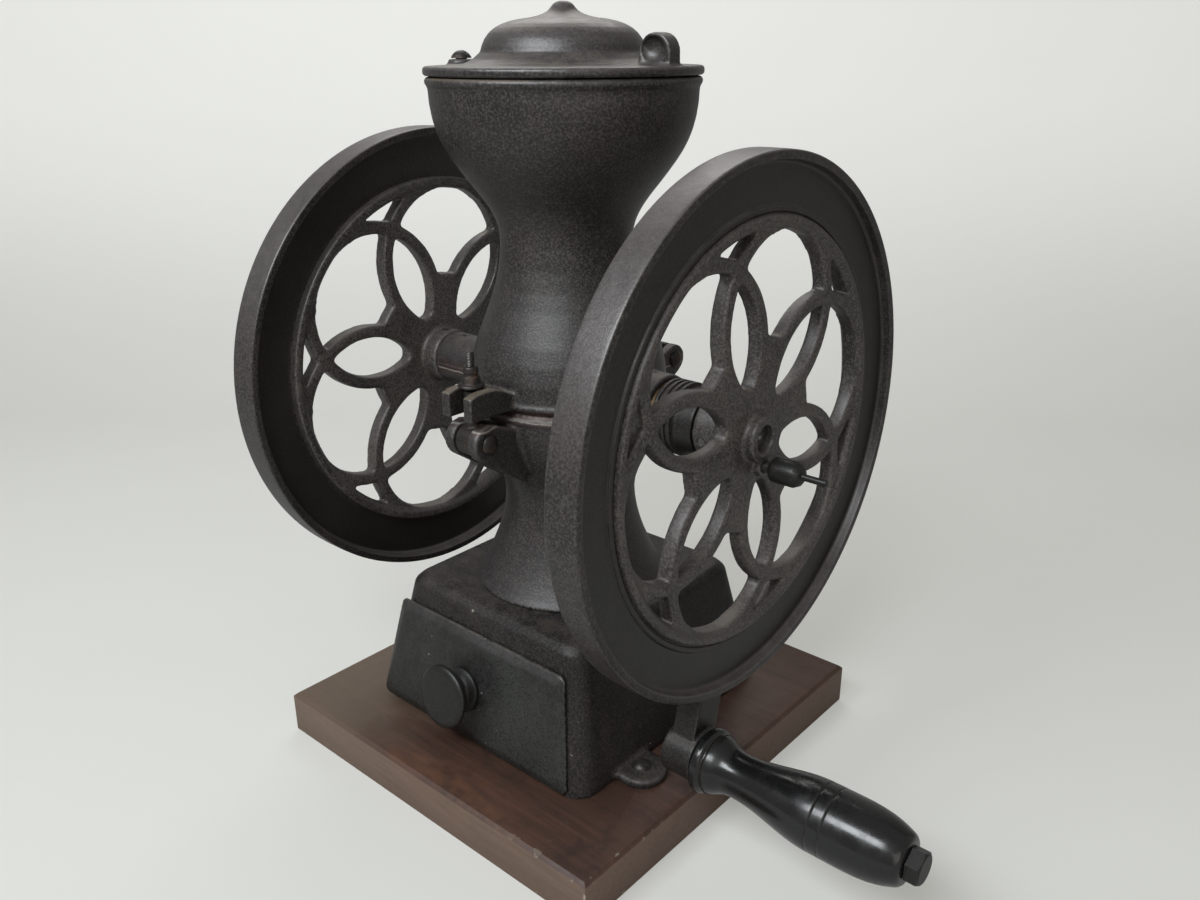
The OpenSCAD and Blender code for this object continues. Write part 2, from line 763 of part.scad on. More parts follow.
module bushing(x0) {
    difference() {
        on_axle(bush_d / 2, x0, x0 + bush_len);
        on_axle(shaft_r + run_fit, x0 - 1, x0 + bush_len + 1);
    }
}

module left_bushing() {
    color(brass) bushing(-left_boss);
}

module right_bushing() {
    color(brass) bushing(right_boss - bush_len);
}

module thrust_washer() {
    color(brass) difference() {
        on_axle(right_boss_r - 3, right_boss + side_gap, right_boss + side_gap + washer_t);
        on_axle(shaft_r, right_boss, right_boss + 4);
    }
}

// Cross holes for the pins in both hubs, the worm and the turning burr
module wheel_pin_lines() {
    translate([left_pin_x, 0, axle_z]) children();
    about_axle(lock_angle + 90) translate([right_pin_x, 0, axle_z]) rotate([-90, 0, 0]) children();
}

module feed_pin_lines() {
    for (x = [trough_x0 + 8, turning_x + turning_t / 2]) translate([x, 0, axle_z]) children();
}

// Lathe's centre mark in a shaft end, going up from z = 0
module centre_mark() {
    translate([0, 0, -1]) cylinder(r1 = 3, r2 = 0.5, h = 4);
}

module main_shaft() {
    color(steel) difference() {
        on_axle(shaft_r, left_face_x + 3, face_x - 3);
        translate([face_x - 3, 0, axle_z]) rotate([0, -90, 0]) centre_mark();
        translate([left_face_x + 3, 0, axle_z]) rotate([0, 90, 0]) centre_mark();
        wheel_pin_lines() translate([0, 0, -20]) cylinder(r = pin_r, h = 40);
        feed_pin_lines() translate([0, 0, -20]) cylinder(r = pin_r, h = 40);
    }
}

module wheel_pins() {
    color(steel) wheel_pin_lines() translate([0, 0, -hub_r + 0.5]) cylinder(r = pin_r, h = 2 * hub_r - 1);
}

module feed_pins() {
    color(steel) feed_pin_lines() translate([0, 0, -shaft_r - 2]) cylinder(r = pin_r, h = 2 * shaft_r + 4);
}

// Rim, band and ring about Z, the rim's middle plane at z = 0
module rim_section() {
    half = ring_t / 2;
    bevel = half * 0.4;
    rotate_extrude($fn = 128) polygon([
        [ring_in, bevel - half], [ring_in + bevel, -half], [ring_out, -half],
        [ring_out, rim_w / 2 - band_deep - band_t],
        [wheel_r - lip, rim_w / 2 - band_deep - band_t], [wheel_r - lip, -rim_w / 2 + 1],
        [wheel_r - lip + 1, -rim_w / 2], [wheel_r - 1.2, -rim_w / 2], [wheel_r, -rim_w / 2 + 1.2],
        [wheel_r, rim_w / 2 - 1.2], [wheel_r - 1.2, rim_w / 2], [wheel_r - lip + 1, rim_w / 2],
        [wheel_r - lip, rim_w / 2 - 1], [wheel_r - lip, rim_w / 2 - band_deep],
        [ring_out, rim_w / 2 - band_deep], [ring_out - 1, half],
        [ring_in + bevel, half], [ring_in, half - bevel]]);
}

// Circle about a petal circle's centre, at that angle from the petal's axis
module petal_circle(a, r) {
    rotate(a) translate([petal_c, 0]) circle(r = r, $fn = 96);
}

// Plate with the openings between and round six petals
module petals() {
    inside = petal_r - arm_w / 2;
    outside = petal_r + arm_w / 2;
    difference() {
        circle(r = ring_in + 1, $fn = 128);
        for (a = [0:60:300]) rotate(a) {
            difference() {
                intersection_for (s = [-30, 30]) petal_circle(s, inside);
                circle(r = heart_in);
            }
            difference() {
                petal_circle(30, inside);
                petal_circle(-30, outside);
                petal_circle(90, outside);
                circle(r = heart_r, $fn = 96);
            }
            difference() {
                intersection() {
                    circle(r = ring_in + 0.5, $fn = 128);
                    translate([petal_c + 15, -ring_in / 2]) square([ring_in, ring_in]);
                }
                petal_circle(-30, outside);
                petal_circle(30, outside);
            }
        }
    }
}

// Wheel about Z with its outer face up and a petal along +X
module wheel() {
    rim_section();
    translate([0, 0, -arm_t / 2]) linear_extrude(arm_t) petals();
    cylinder(r = hub_face_r, h = rim_w / 2 + 1.5);
}

module left_flywheel() {
    color(iron) difference() {
        union() {
            translate([left_mid_x, 0, axle_z]) rotate([90, 0, -90]) rotate(180 - left_turn) wheel();
            on_axle(hub_r, left_mid_x, -left_boss - side_gap);
        }
        on_axle(shaft_r, left_face_x - 5, -left_boss + 5);
        translate([left_pin_x, 0, axle_z - 30]) cylinder(r = pin_r, h = 60);
    }
}

// Line of the lock screw, pointing along +X from the parting of nut and hub
module lock_line() {
    about_axle(lock_angle) translate([nut_x1 + side_gap, lock_r, axle_z]) rotate([0, 90, 0]) children();
}

module crank_wheel() {
    color(iron) difference() {
        union() {
            translate([mid_x, 0, axle_z]) rotate([90, 0, 90]) rotate(right_turn) wheel();
            on_axle(hub_r, nut_x1 + side_gap, mid_x);
            lock_line() translate([0, 0, 1])
                cylinder(r = lock_d / 2 + 2.5, h = face_x - nut_x1 - side_gap - 1);
            about_axle(crank_angle) {
                translate([face_x - rim_w + 2, wheel_r - lip / 2, axle_z - crank_boss_r * 0.7])
                    cube([rim_w - 4, crank_r - wheel_r + lip / 2, crank_boss_r * 1.4]);
                along_x(crank_boss_r, face_x - rim_w, face_x, crank_r, axle_z);
            }
        }
        on_axle(shaft_r, nut_x1 - 5, face_x + 5);
        along_x(crank_bolt_d / 2, face_x - rim_w - 1, face_x + 1, crank_y, crank_z);
        lock_line() translate([0, 0, -1]) cylinder(r = lock_d / 2 + run_fit, h = 60);
        about_axle(lock_angle + 90) translate([right_pin_x, -30, axle_z]) rotate([-90, 0, 0])
            cylinder(r = pin_r, h = 60);
    }
}

// Grooves that cut the bean, in a face at z = 0 with the burr below it
module burr_grooves(r) {
    for (i = [0:grooves - 1]) rotate(i * 360 / grooves)
        translate([worm_space + 2.5, -0.9, -1.2]) rotate([0, 0, 12]) cube([r, 1.8, 3]);
}

// Lines of the two screws that hold the fixed burr, from its grinding face
module at_burr_screws() {
    for (a = [-30, 30]) translate([fixed_x + 1.5, 0, axle_z]) rotate([0, 90, 0]) rotate(a)
        translate([chamber_r - 5, 0, 0]) children();
}

module fixed_burr() {
    color(steel) difference() {
        on_axle(chamber_r, fixed_x, chamber_x1);
        on_axle(shaft_r + 2, fixed_x - 1, chamber_x1 + 1);
        translate([fixed_x, 0, axle_z]) rotate([0, 90, 0]) mirror([0, 0, 1]) burr_grooves(chamber_r);
        at_burr_screws() translate([0, 0, -3]) cylinder(d = burr_screw_d, h = fixed_t + 8);
    }
}

module burr_screws() {
    color(steel) at_burr_screws() cylinder(d = burr_screw_d, h = fixed_t + 5);
}

module turning_burr() {
    color(steel) difference() {
        on_axle(turning_r, turning_x, turning_x + turning_t);
        difference() {
            on_axle(worm_space + 1, turning_x - 1, turning_x + turning_t + 1);
            on_axle(shaft_r + 4, turning_x - 2, turning_x + turning_t + 2);
            for (a = [0, 90]) about_axle(a) translate([turning_x - 2, -40, axle_z - 3])
                cube([turning_t + 4, 80, 6]);
        }
        on_axle(shaft_r, turning_x - 5, turning_x + turning_t + 5);
        translate([turning_x + turning_t, 0, axle_z]) rotate([0, 90, 0]) burr_grooves(turning_r);
        feed_pin_lines() translate([0, 0, -shaft_r - 2]) cylinder(r = pin_r, h = 2 * shaft_r + 4);
    }
}

module feed_worm() {
    worm_x = trough_x0 + 2;
    worm_len = turning_x - worm_x;
    color(iron) difference() {
        translate([worm_x, 0, axle_z]) rotate([0, 90, 0]) union() {
            cylinder(r = shaft_r + 2, h = worm_len);
            linear_extrude(worm_len, twist = -360 * worm_turns, slices = 12 * worm_turns, segments = 6)
                polygon(concat([[0, 0]], [for (a = [0:24:72]) [worm_r * cos(a), worm_r * sin(a)]]));
        }
        on_axle(shaft_r, worm_x - 1, turning_x + 1);
        feed_pin_lines() translate([0, 0, -20]) cylinder(r = pin_r, h = 40);
    }
}

module adjusting_nut() {
    step = nut_rib_len / 4;
    color(dark_iron) difference() {
        union() {
            on_axle(nut_rib_r - 1.6, nut_x0, nut_x0 + nut_rib_len);
            for (i = [0:3]) on_axle(nut_rib_r, nut_x0 + step * (i + 0.2), nut_x0 + step * (i + 0.8));
            on_axle(nut_r, nut_x0 + nut_rib_len, nut_x1);
        }
        on_axle(shaft_r + run_fit, nut_x0 - 1, nut_x1 + 1);
    }
}

module lock_screw() {
    color(rust) lock_line() cylinder(d = lock_d, h = lock_x + lock_knob_len / 2 - nut_x1 - side_gap);
}

module lock_knob() {
    len = lock_knob_len;
    color(lacquer) lock_line() translate([0, 0, lock_x - nut_x1 - side_gap]) difference() {
        union() {
            rotate_extrude() polygon([[0, 0], [lock_knob_r - 1.2, 0], [lock_knob_r, 1.5],
                [lock_knob_r, len - 4], [lock_knob_r - 1.5, len - 1], [lock_knob_r - 3, len], [0, len]]);
            cylinder(r = 1.7, h = len + lock_pin_len);
        }
        translate([0, 0, -1]) cylinder(d = lock_d, h = len / 2 + 1);
    }
}

module crank_washer() {
    color(steel) difference() {
        along_x(crank_bolt_d / 2 + 5, face_x, face_x + washer_t, crank_y, crank_z);
        along_x(crank_bolt_d / 2, face_x - 1, face_x + 4, crank_y, crank_z);
    }
}

module crank_bolt() {
    head_x = grip_x + grip_len + side_gap;
    color(steel) {
        along_x(crank_bolt_d / 2, face_x - rim_w, head_x, crank_y, crank_z);
        translate([head_x, crank_y, crank_z]) rotate([0, 90, 0]) rotate(12)
            cylinder(d = crank_hex / cos(30), h = crank_head, $fn = 6);
    }
}

module crank_grip() {
    color(lacquer) translate([grip_x, crank_y, crank_z]) rotate([0, 90, 0]) difference() {
        rotate_extrude() polygon(concat(
            [[0, 0], [collar_r - 1, 0], [collar_r, 1], [collar_r, 3.5], [collar_r - 1, 4.5],
            [collar_r - 2.2, 5], [collar_r - 1.2, 6.5]],
            curve([collar_r - 1.2, 6.5], [collar_r - 2.5, 12], [grip_neck, 13], [grip_neck, 21], 6),
            curve([grip_neck, 21], [grip_neck, 36], [grip_r, 50], [grip_r, grip_len * 0.72]),
            curve([grip_r, grip_len * 0.72], [grip_r, grip_len * 0.86], [grip_neck + 4, grip_len * 0.95],
                [grip_neck + 1, grip_len], 6),
            [[0, grip_len]]));
        translate([0, 0, -1]) cylinder(r = crank_bolt_d / 2 + run_fit, h = grip_len + 2);
    }
}

// Lines of the rivets between drawer box and front, pointing outwards
module at_rivets() {
    for (sx = [-1, 1], up = [rivet_low, drawer_h - rivet_high])
        translate([sx * rib_x, box_y + drawer_sheet + rivet_head_h, drawer_z + up])
            rotate([90, 0, 0]) children();
}

module drawer_box() {
    color(tin) difference() {
        translate([-drawer_w / 2, box_y, drawer_z]) cube([drawer_w, drawer_deep, drawer_h]);
        translate([-drawer_w / 2 + drawer_sheet, box_y + drawer_sheet, drawer_z + drawer_sheet])
            cube([drawer_w - 2 * drawer_sheet, drawer_deep - 2 * drawer_sheet, drawer_h]);
        at_rivets() cylinder(d = rivet_d, h = rivet_head_h + rivet_len);
    }
}

// Lies in the drawer front's back face, local Y up the slope and Z outwards
module on_front() {
    translate([front_x, plate_y, plate_z]) rotate([90 - slope, 0, 0]) children();
}

// Bevelled plate that leans with the base, with two ribs behind it
module drawer_front() {
    color(dark_iron) difference() {
        union() {
            on_front() hull() {
                plate(0, 0.1);
                translate([0, 0, front_t - 2.6]) plate(0, 0.1);
                translate([0, 0, front_t - 0.1]) plate(front_bevel, 0.1);
            }
            difference() {
                for (s = [-1, 1]) translate([s * rib_x - 6, plate_y - front_t, drawer_z + 4])
                    cube([12, box_y - plate_y + front_t, drawer_h - 6]);
                on_front() translate([-beyond, -beyond, front_t / 2]) cube(2 * beyond);
            }
        }
        on_front() translate([knob_x, knob_up, -20]) cylinder(d = knob_screw_d, h = 60);
        at_rivets() cylinder(d = rivet_d, h = rivet_head_h + rivet_len);
    }
}

// Corners of the plate, inset by a bevel
module plate(inset, t) {
    r = front_corner;
    for (s = [-1, 1]) {
        translate([s * (front_foot_w / 2 - r - inset), r + inset, 0]) cylinder(r = r, h = t, $fn = 32);
        translate([s * (front_top_w / 2 - r - inset), front_h - r - inset, 0])
            cylinder(r = r, h = t, $fn = 32);
    }
}

module drawer_rivets() {
    color(steel) at_rivets() {
        translate([0, 0, rivet_head_h]) cylinder(d = rivet_d, h = rivet_len);
        cylinder(d = rivet_head, h = rivet_head_h);
    }
}

module drawer_knob() {
    h = knob_len;
    color(lacquer) on_front() translate([knob_x, knob_up, front_t]) difference() {
        rotate_extrude() polygon(concat([[0, 0], [knob_foot - 0.8, 0], [knob_foot, 1], [knob_foot, 2.5]],
            curve([knob_foot, 2.5], [knob_neck, h * 0.25], [knob_neck, h * 0.3], [knob_neck, h * 0.45], 6),
            curve([knob_neck, h * 0.45], [knob_neck, h * 0.75], [knob_r, h * 0.7], [knob_r, h - 3], 6),
            [[knob_r, h - 1.5], [knob_r - 1.5, h - 0.4], [knob_r - 4, h], [0, h]]));
        translate([0, 0, -1]) cylinder(d = knob_screw_d, h = h * 0.6 + 1);
    }
}

module drawer_knob_screw() {
    color(steel) on_front() translate([knob_x, knob_up, 0]) {
        cylinder(d = knob_screw_d, h = front_t + knob_len * 0.6);
        translate([0, 0, -knob_screw_d / 2]) cylinder(d = knob_screw_d * 1.9, h = knob_screw_d / 2);
    }
}

base_board();
base_casting();
base_screws();
column_bolts();
lower_casting();
upper_casting();
rear_hinge_pin();
clamp_pin();
swing_bolt();
clamp_nut();
lid();
lid_pivot_screw();
left_bushing();
right_bushing();
thrust_washer();
main_shaft();
left_flywheel();
crank_wheel();
wheel_pins();
feed_pins();
fixed_burr();
burr_screws();
turning_burr();
feed_worm();
adjusting_nut();
lock_screw();
lock_knob();
crank_washer();
crank_bolt();
crank_grip();
drawer_box();
drawer_front();
drawer_rivets();
drawer_knob();
drawer_knob_screw();
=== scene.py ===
import json
import math

import bpy
from mathutils import Matrix, Vector


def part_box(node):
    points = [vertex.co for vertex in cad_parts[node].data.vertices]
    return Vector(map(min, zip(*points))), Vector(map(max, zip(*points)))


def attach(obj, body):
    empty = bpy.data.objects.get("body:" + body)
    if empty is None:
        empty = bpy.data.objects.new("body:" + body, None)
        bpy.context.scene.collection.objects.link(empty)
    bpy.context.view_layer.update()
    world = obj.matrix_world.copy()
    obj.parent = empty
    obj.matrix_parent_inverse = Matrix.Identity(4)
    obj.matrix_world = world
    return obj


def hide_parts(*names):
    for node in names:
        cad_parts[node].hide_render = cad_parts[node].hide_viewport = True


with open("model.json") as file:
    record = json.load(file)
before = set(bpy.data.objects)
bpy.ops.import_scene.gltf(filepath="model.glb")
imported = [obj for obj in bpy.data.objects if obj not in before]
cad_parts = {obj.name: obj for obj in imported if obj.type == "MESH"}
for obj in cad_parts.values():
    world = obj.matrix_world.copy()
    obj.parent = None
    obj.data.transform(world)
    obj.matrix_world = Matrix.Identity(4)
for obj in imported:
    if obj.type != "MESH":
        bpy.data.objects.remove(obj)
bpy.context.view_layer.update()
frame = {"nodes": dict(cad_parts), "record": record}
bodyOfNode = {node: body for body, nodes in frame["record"]["behaviour"]["bodies"].items() for node in nodes}
slotOfNode = {part["node"]: part["material_slot"] for part in frame["record"]["subparts"]}
mm = 0.001


def middleOf(node):
    low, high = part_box(node)
    return (low + high) / 2


axleZ = middleOf("main_shaft").z
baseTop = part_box("base_casting")[1].z
print("coffee mill: frame loaded,", len(bodyOfNode), "nodes")


# Camera, floor and lamps

camera = {
    "azimuth": 41.15,
    "elevation": 21.26,
    "roll": -0.26,
    "place": (0.3802, -0.4086, 0.3985),
    "focalPixels": 1033.6,
    "imageWidth": 1200,
    "sensor": 36,
}


def cameraAxes(look):
    turn = math.radians(look["azimuth"])
    lift = math.radians(look["elevation"])
    back = Vector((math.sin(turn) * math.cos(lift), -math.cos(turn) * math.cos(lift), math.sin(lift)))
    right = Vector((math.cos(turn), math.sin(turn), 0))
    up = back.cross(right)
    rolled = Matrix.Rotation(math.radians(look["roll"]), 3, back)
    return rolled @ right, rolled @ up, back


def placeCamera(look):
    lens = bpy.data.cameras.new("camera")
    lens.sensor_width = look["sensor"]
    lens.lens = look["focalPixels"] / look["imageWidth"] * look["sensor"]
    lens.clip_start = 0.01
    eye = bpy.data.objects.new("camera", lens)
    bpy.context.scene.collection.objects.link(eye)
    eye.matrix_world = Matrix(cameraAxes(look)).transposed().to_4x4()
    eye.location = look["place"]
    bpy.context.scene.camera = eye


def deselectAll():
    if bpy.context.object and bpy.context.object.mode != "OBJECT":
        bpy.ops.object.mode_set(mode="OBJECT")
    bpy.ops.object.select_all(action="DESELECT")


def selectOnly(*pieces):
    deselectAll()
    for piece in pieces:
        piece.select_set(True)
    bpy.context.view_layer.objects.active = pieces[0]


# Shader maths

class Wire:
    # one output of a shader node; sums and products of wires add Math nodes
    def __init__(self, tree, socket):
        self.tree = tree
        self.socket = socket

    def maths(self, operation, *values):
        return addNode(self.tree, "ShaderNodeMath", {"operation": operation}, dict(enumerate(values)))

    def __add__(self, other):
        return self.maths("ADD", self, other)

    def __radd__(self, other):
        return self.maths("ADD", other, self)

    def __sub__(self, other):
        return self.maths("SUBTRACT", self, other)

    def __rsub__(self, other):
        return self.maths("SUBTRACT", other, self)

    def __mul__(self, other):
        return self.maths("MULTIPLY", self, other)

    def __rmul__(self, other):
        return self.maths("MULTIPLY", other, self)


def addNode(tree, kind, settings=None, sockets=None, output=0):
    node = tree.nodes.new(kind)
    for name, value in (settings or {}).items():
        if name == "stops":
            setStops(node.color_ramp, value)
        else:
            setattr(node, name, value)
    for name, value in (sockets or {}).items():
        if isinstance(value, Wire):
            tree.links.new(value.socket, node.inputs[name])
        else:
            node.inputs[name].default_value = value
    return Wire(tree, node.outputs[output])


def setStops(ramp, stops):
    while len(ramp.elements) < len(stops):
        ramp.elements.new(0.5)
    for element, (place, colour) in zip(ramp.elements, stops):
        element.position = place
        element.color = colour if isinstance(colour, tuple) else (colour, colour, colour, 1)


def newFinish(name):
    material = bpy.data.materials.new(name)
    material.use_nodes = True
    tree = material.node_tree
    return material, tree, tree.nodes["Principled BSDF"]


def paint(tree, shader, **sockets):
    names = {"colour": "Base Color", "roughness": "Roughness", "metal": "Metallic", "coat": "Coat Weight"}
    for word, value in sockets.items():
        socket = shader.inputs[names[word]]
        if isinstance(value, Wire):
            tree.links.new(value.socket, socket)
        else:
            socket.default_value = value


def objectPoints(tree, stretch=(1, 1, 1)):
    points = addNode(tree, "ShaderNodeTexCoord", {}, {}, "Object")
    return addNode(tree, "ShaderNodeMapping", {}, {"Vector": points, "Scale": stretch})


def noise(tree, points, scale, detail=3, roughness=0.5, distortion=0):
    return addNode(tree, "ShaderNodeTexNoise", {}, {
        "Vector": points, "Scale": scale, "Detail": detail, "Roughness": roughness, "Distortion": distortion})


def step(tree, value, low, high):
    # rises smoothly from 0 at low to 1 at high
    return addNode(tree, "ShaderNodeMapRange", {"interpolation_type": "SMOOTHSTEP"}, {
        "Value": value, "From Min": low, "From Max": high, "To Min": 0, "To Max": 1})


def between(tree, value, low, high, soft):
    return step(tree, value, low - soft, low + soft) * (1 - step(tree, value, high - soft, high + soft))


def mixColour(tree, factor, first, second, blend="MIX"):
    return addNode(tree, "ShaderNodeMix", {"data_type": "RGBA", "blend_type": blend}, {
        0: factor, 6: first, 7: second}, 2)


def bump(tree, shader, height, strength, distance):
    normal = addNode(tree, "ShaderNodeBump", {}, {"Height": height, "Strength": strength, "Distance": distance})
    tree.links.new(normal.socket, shader.inputs["Normal"])


def edges(tree, radius):
    # 0 on a face, rising to 1 within that radius of a sharp edge
    soft = addNode(tree, "ShaderNodeBevel", {"samples": 4}, {"Radius": radius})
    hard = addNode(tree, "ShaderNodeNewGeometry", {}, {}, "Normal")
    along = addNode(tree, "ShaderNodeVectorMath", {"operation": "DOT_PRODUCT"}, {0: soft, 1: hard}, "Value")
    return step(tree, 1 - along, 0.01, 0.22)


def pointedness(tree):
    # above 0.5 where the mesh is proud, below it where it is hollow
    return addNode(tree, "ShaderNodeNewGeometry", {}, {}, "Pointiness")


def facing(tree, axis):
    # how far a face looks along X, Y or Z, from the piece's own normals
    normal = addNode(tree, "ShaderNodeTexCoord", {}, {}, "Normal")
    return addNode(tree, "ShaderNodeSeparateXYZ", {}, {"Vector": normal}, axis)


def placeAlong(tree, axis):
    return addNode(tree, "ShaderNodeSeparateXYZ", {}, {"Vector": objectPoints(tree)}, axis)


def awayFromAxle(tree):
    flat = addNode(tree, "ShaderNodeVectorMath", {"operation": "MULTIPLY"}, {0: objectPoints(tree), 1: (0, 1, 1)})
    return addNode(tree, "ShaderNodeVectorMath", {"operation": "DISTANCE"}, {0: flat, 1: (0, 0, axleZ)}, "Value")


# Finishes

def castIron(name, look):
    material, tree, shader = newFinish(name)
    points = objectPoints(tree)
    cloud = noise(tree, points, 16, 4, 0.6)
    blotch = noise(tree, points, 95, 5, 0.62)
    mottle = noise(tree, points, 230, 3, 0.6)
    sand = noise(tree, points, 900, 3, 0.6)
    colour = mixColour(tree, step(tree, cloud + 0.35 * (blotch - 0.5), 0.36, 0.68), look["black"], look["brown"])
    colour = mixColour(tree, step(tree, blotch, 0.52, 0.72) * look["rustShare"], colour, look["rust"])
    colour = mixColour(tree, step(tree, mottle, 0.5, 0.66) * 0.55, colour, look["purple"])
    colour = mixColour(tree, step(tree, sand, 0.5, 0.62) * look["speckShare"], colour, look["speck"])
    colour = mixColour(tree, (1 - step(tree, sand, 0.38, 0.48)) * 0.8, colour, look["pit"])
    up = facing(tree, "Z")
    # up-facing faces are lightened towards a pale grey: partly pale dust, partly painted light from overhead
    dustAndTopLight = step(tree, up, look["dustAndTopLightFrom"], 0.55) * (0.55 + 0.9 * (mottle - 0.3)) * look["dustAndTopLightShare"]
    colour = mixColour(tree, dustAndTopLight, colour, look["dustAndTopLight"])
    top = step(tree, up, 0.55, 0.95) * step(tree, blotch + 0.5 * sand, 0.55, 0.95) * look["topDust"]
    if look["rings"]:
        away = awayFromAxle(tree)
        # the recessed band between lip and ring is darkened towards black: painted shade in the recess
        bandShade = between(tree, away, 109 * mm, 131 * mm, 0.8 * mm)
        colour = mixColour(tree, bandShade * 0.75, colour, look["black"])
        top = top * (1 - step(tree, away, 132 * mm, 133 * mm))
    if look["seam"]:
        height = placeAlong(tree, "Z")
        seam = between(tree, height, axleZ - 5 * mm, axleZ + 2.8 * mm, 0.7 * mm)
        colour = mixColour(tree, seam * step(tree, blotch, 0.3, 0.6), colour, look["seamRust"])
        wavy = height + 0.004 * (noise(tree, points, 70, 2, 0.5) - 0.5)
        chips = between(tree, wavy, axleZ - 3.1 * mm, axleZ - 2.3 * mm, 0.3 * mm)
        colour = mixColour(tree, chips * 0.85, colour, look["chip"])
        forward = 1 - step(tree, placeAlong(tree, "Y"), -66 * mm, -56 * mm)
        ledge = forward * step(tree, height, axleZ + 2 * mm, axleZ + 6 * mm) * step(tree, up, 0.3, 0.7)
        colour = mixColour(tree, ledge * 0.7, colour, look["ochre"])
    if look["crispEdges"]:
        wear = edges(tree, 1.6 * mm) * step(tree, blotch, 0.3, 0.55) * look["wearShare"]
    else:
        point = pointedness(tree)
        dirt = step(tree, 0.5 - point, 0.008, 0.05) * step(tree, blotch, 0.3, 0.6)
        colour = mixColour(tree, dirt * look["dirtShare"], colour, look["dust"])
        wear = step(tree, point, 0.515, 0.575) * step(tree, blotch, 0.36, 0.6) * look["wearShare"]
    colour = mixColour(tree, top, colour, look["dust"])
    colour = mixColour(tree, wear, colour, look["worn"])
    fleck = step(tree, noise(tree, points, 260, 2, 0.4), 0.735, 0.76) * step(tree, cloud, 0.5, 0.6)
    colour = mixColour(tree, fleck * look["fleckShare"], colour, look["fleck"])
    paint(tree, shader, colour=colour, metal=look["metal"] + 0.5 * wear,
          roughness=look["rough"] + 0.2 * (sand - 0.5) + 0.24 * (cloud - 0.5) - 0.1 * wear + 0.25 * top)
    shader.inputs["IOR"].default_value = look["ior"]
    bump(tree, shader, 0.5 * sand + 0.35 * mottle + 0.6 * blotch, look["grain"], 0.5 * mm)
    return material


iron = {
    "black": (0.0150, 0.0140, 0.0134, 1),
    "brown": (0.030, 0.026, 0.0245, 1),
    "rust": (0.055, 0.035, 0.028, 1),
    "purple": (0.036, 0.028, 0.030, 1),
    "speck": (0.088, 0.078, 0.070, 1),
    # pale grey for up-facing faces: partly dust, partly painted top light
    "dustAndTopLight": (0.085, 0.077, 0.079, 1),
    "dust": (0.140, 0.118, 0.095, 1),
    "worn": (0.20, 0.195, 0.19, 1),
    "pit": (0.007, 0.0065, 0.0065, 1),
    "seamRust": (0.060, 0.033, 0.028, 1),
    "chip": (0.34, 0.32, 0.30, 1),
    "ochre": (0.150, 0.118, 0.082, 1),
    "fleck": (0.30, 0.29, 0.25, 1),
    "rustShare": 0.3,
    "speckShare": 0.62,
    "dustAndTopLightFrom": 0.05,
    "dustAndTopLightShare": 0.32,
    "dirtShare": 0.55,
    "topDust": 0.55,
    "wearShare": 0.55,
    "fleckShare": 0.0,
    "metal": 0.2,
    "rough": 0.42,
    "ior": 1.5,
    "grain": 0.45,
    "rings": False,
    "seam": False,
    "crispEdges": False,
}


def boardWood(name, look):
    material, tree, shader = newFinish(name)
    points = objectPoints(tree)
    rings = noise(tree, objectPoints(tree, (6, 60, 60)), 1.0, 6, 0.6, 1.4)
    fibre = noise(tree, objectPoints(tree, (24, 430, 430)), 1.0, 4, 0.6)
    stain = noise(tree, objectPoints(tree, (9, 22, 22)), 1.0, 4, 0.6, 0.6)
    patch = noise(tree, points, 21, 5, 0.65)
    scuff = noise(tree, points, 170, 4, 0.7)
    colour = addNode(tree, "ShaderNodeValToRGB", {"stops": look["grainStops"]}, {"Fac": 0.55 * rings + 0.45 * fibre})
    nearDrawer = 1 - step(tree, placeAlong(tree, "Y"), look["wornY"] - 12 * mm, look["wornY"] + 16 * mm)
    warm = step(tree, stain + 0.5 * (patch - 0.5), 0.47, 0.62) * nearDrawer * between(tree, placeAlong(tree, "X"), -75 * mm, 70 * mm, 30 * mm)
    colour = mixColour(tree, warm * 0.7, colour, look["orange"])
    colour = mixColour(tree, step(tree, patch, 0.52, 0.68) * 0.75, colour, look["grime"])
    dusty = 1 - step(tree, placeAlong(tree, "X") + 0.08 * (patch - 0.5), -95 * mm, -20 * mm)
    colour = mixColour(tree, dusty * look["dustShare"], colour, look["dust"])
    up = facing(tree, "Z")
    side = 1 - step(tree, up, 0.35, 0.75)
    colour = mixColour(tree, side * (0.65 + 0.5 * (fibre - 0.5)), colour, look["side"])
    rim = edges(tree, 3 * mm)
    colour = mixColour(tree, rim * step(tree, scuff + 0.3 * rings, 0.45, 0.8) * 0.8, colour, look["edge"])
    corner = step(tree, placeAlong(tree, "X") - placeAlong(tree, "Y"), 175 * mm, 215 * mm)
    chip = step(tree, noise(tree, points, 120, 2, 0.5), 0.6, 0.63) * corner * step(tree, rim, 0.02, 0.2)
    colour = mixColour(tree, chip, colour, look["chip"])
    colour = mixColour(tree, step(tree, scuff, 0.66, 0.78) * 0.3, colour, look["scuff"])
    paint(tree, shader, colour=colour, roughness=0.46 + 0.3 * (scuff - 0.4) + 0.2 * (stain - 0.5) + 0.15 * side)
    bump(tree, shader, 0.6 * fibre + 0.5 * scuff + rings - 0.8 * chip, 0.32, 0.4 * mm)
    return material


wood = {
    "grainStops": [(0.25, (0.030, 0.016, 0.012, 1)), (0.5, (0.062, 0.031, 0.022, 1)), (0.75, (0.100, 0.050, 0.034, 1))],
    "orange": (0.125, 0.054, 0.029, 1),
    "grime": (0.026, 0.016, 0.013, 1),
    "dust": (0.150, 0.112, 0.080, 1),
    "side": (0.205, 0.142, 0.108, 1),
    "edge": (0.180, 0.074, 0.040, 1),
    "scuff": (0.16, 0.12, 0.095, 1),
    "chip": (0.52, 0.49, 0.38, 1),
    "dustShare": 0.6,
    "wornY": -106 * mm,
}


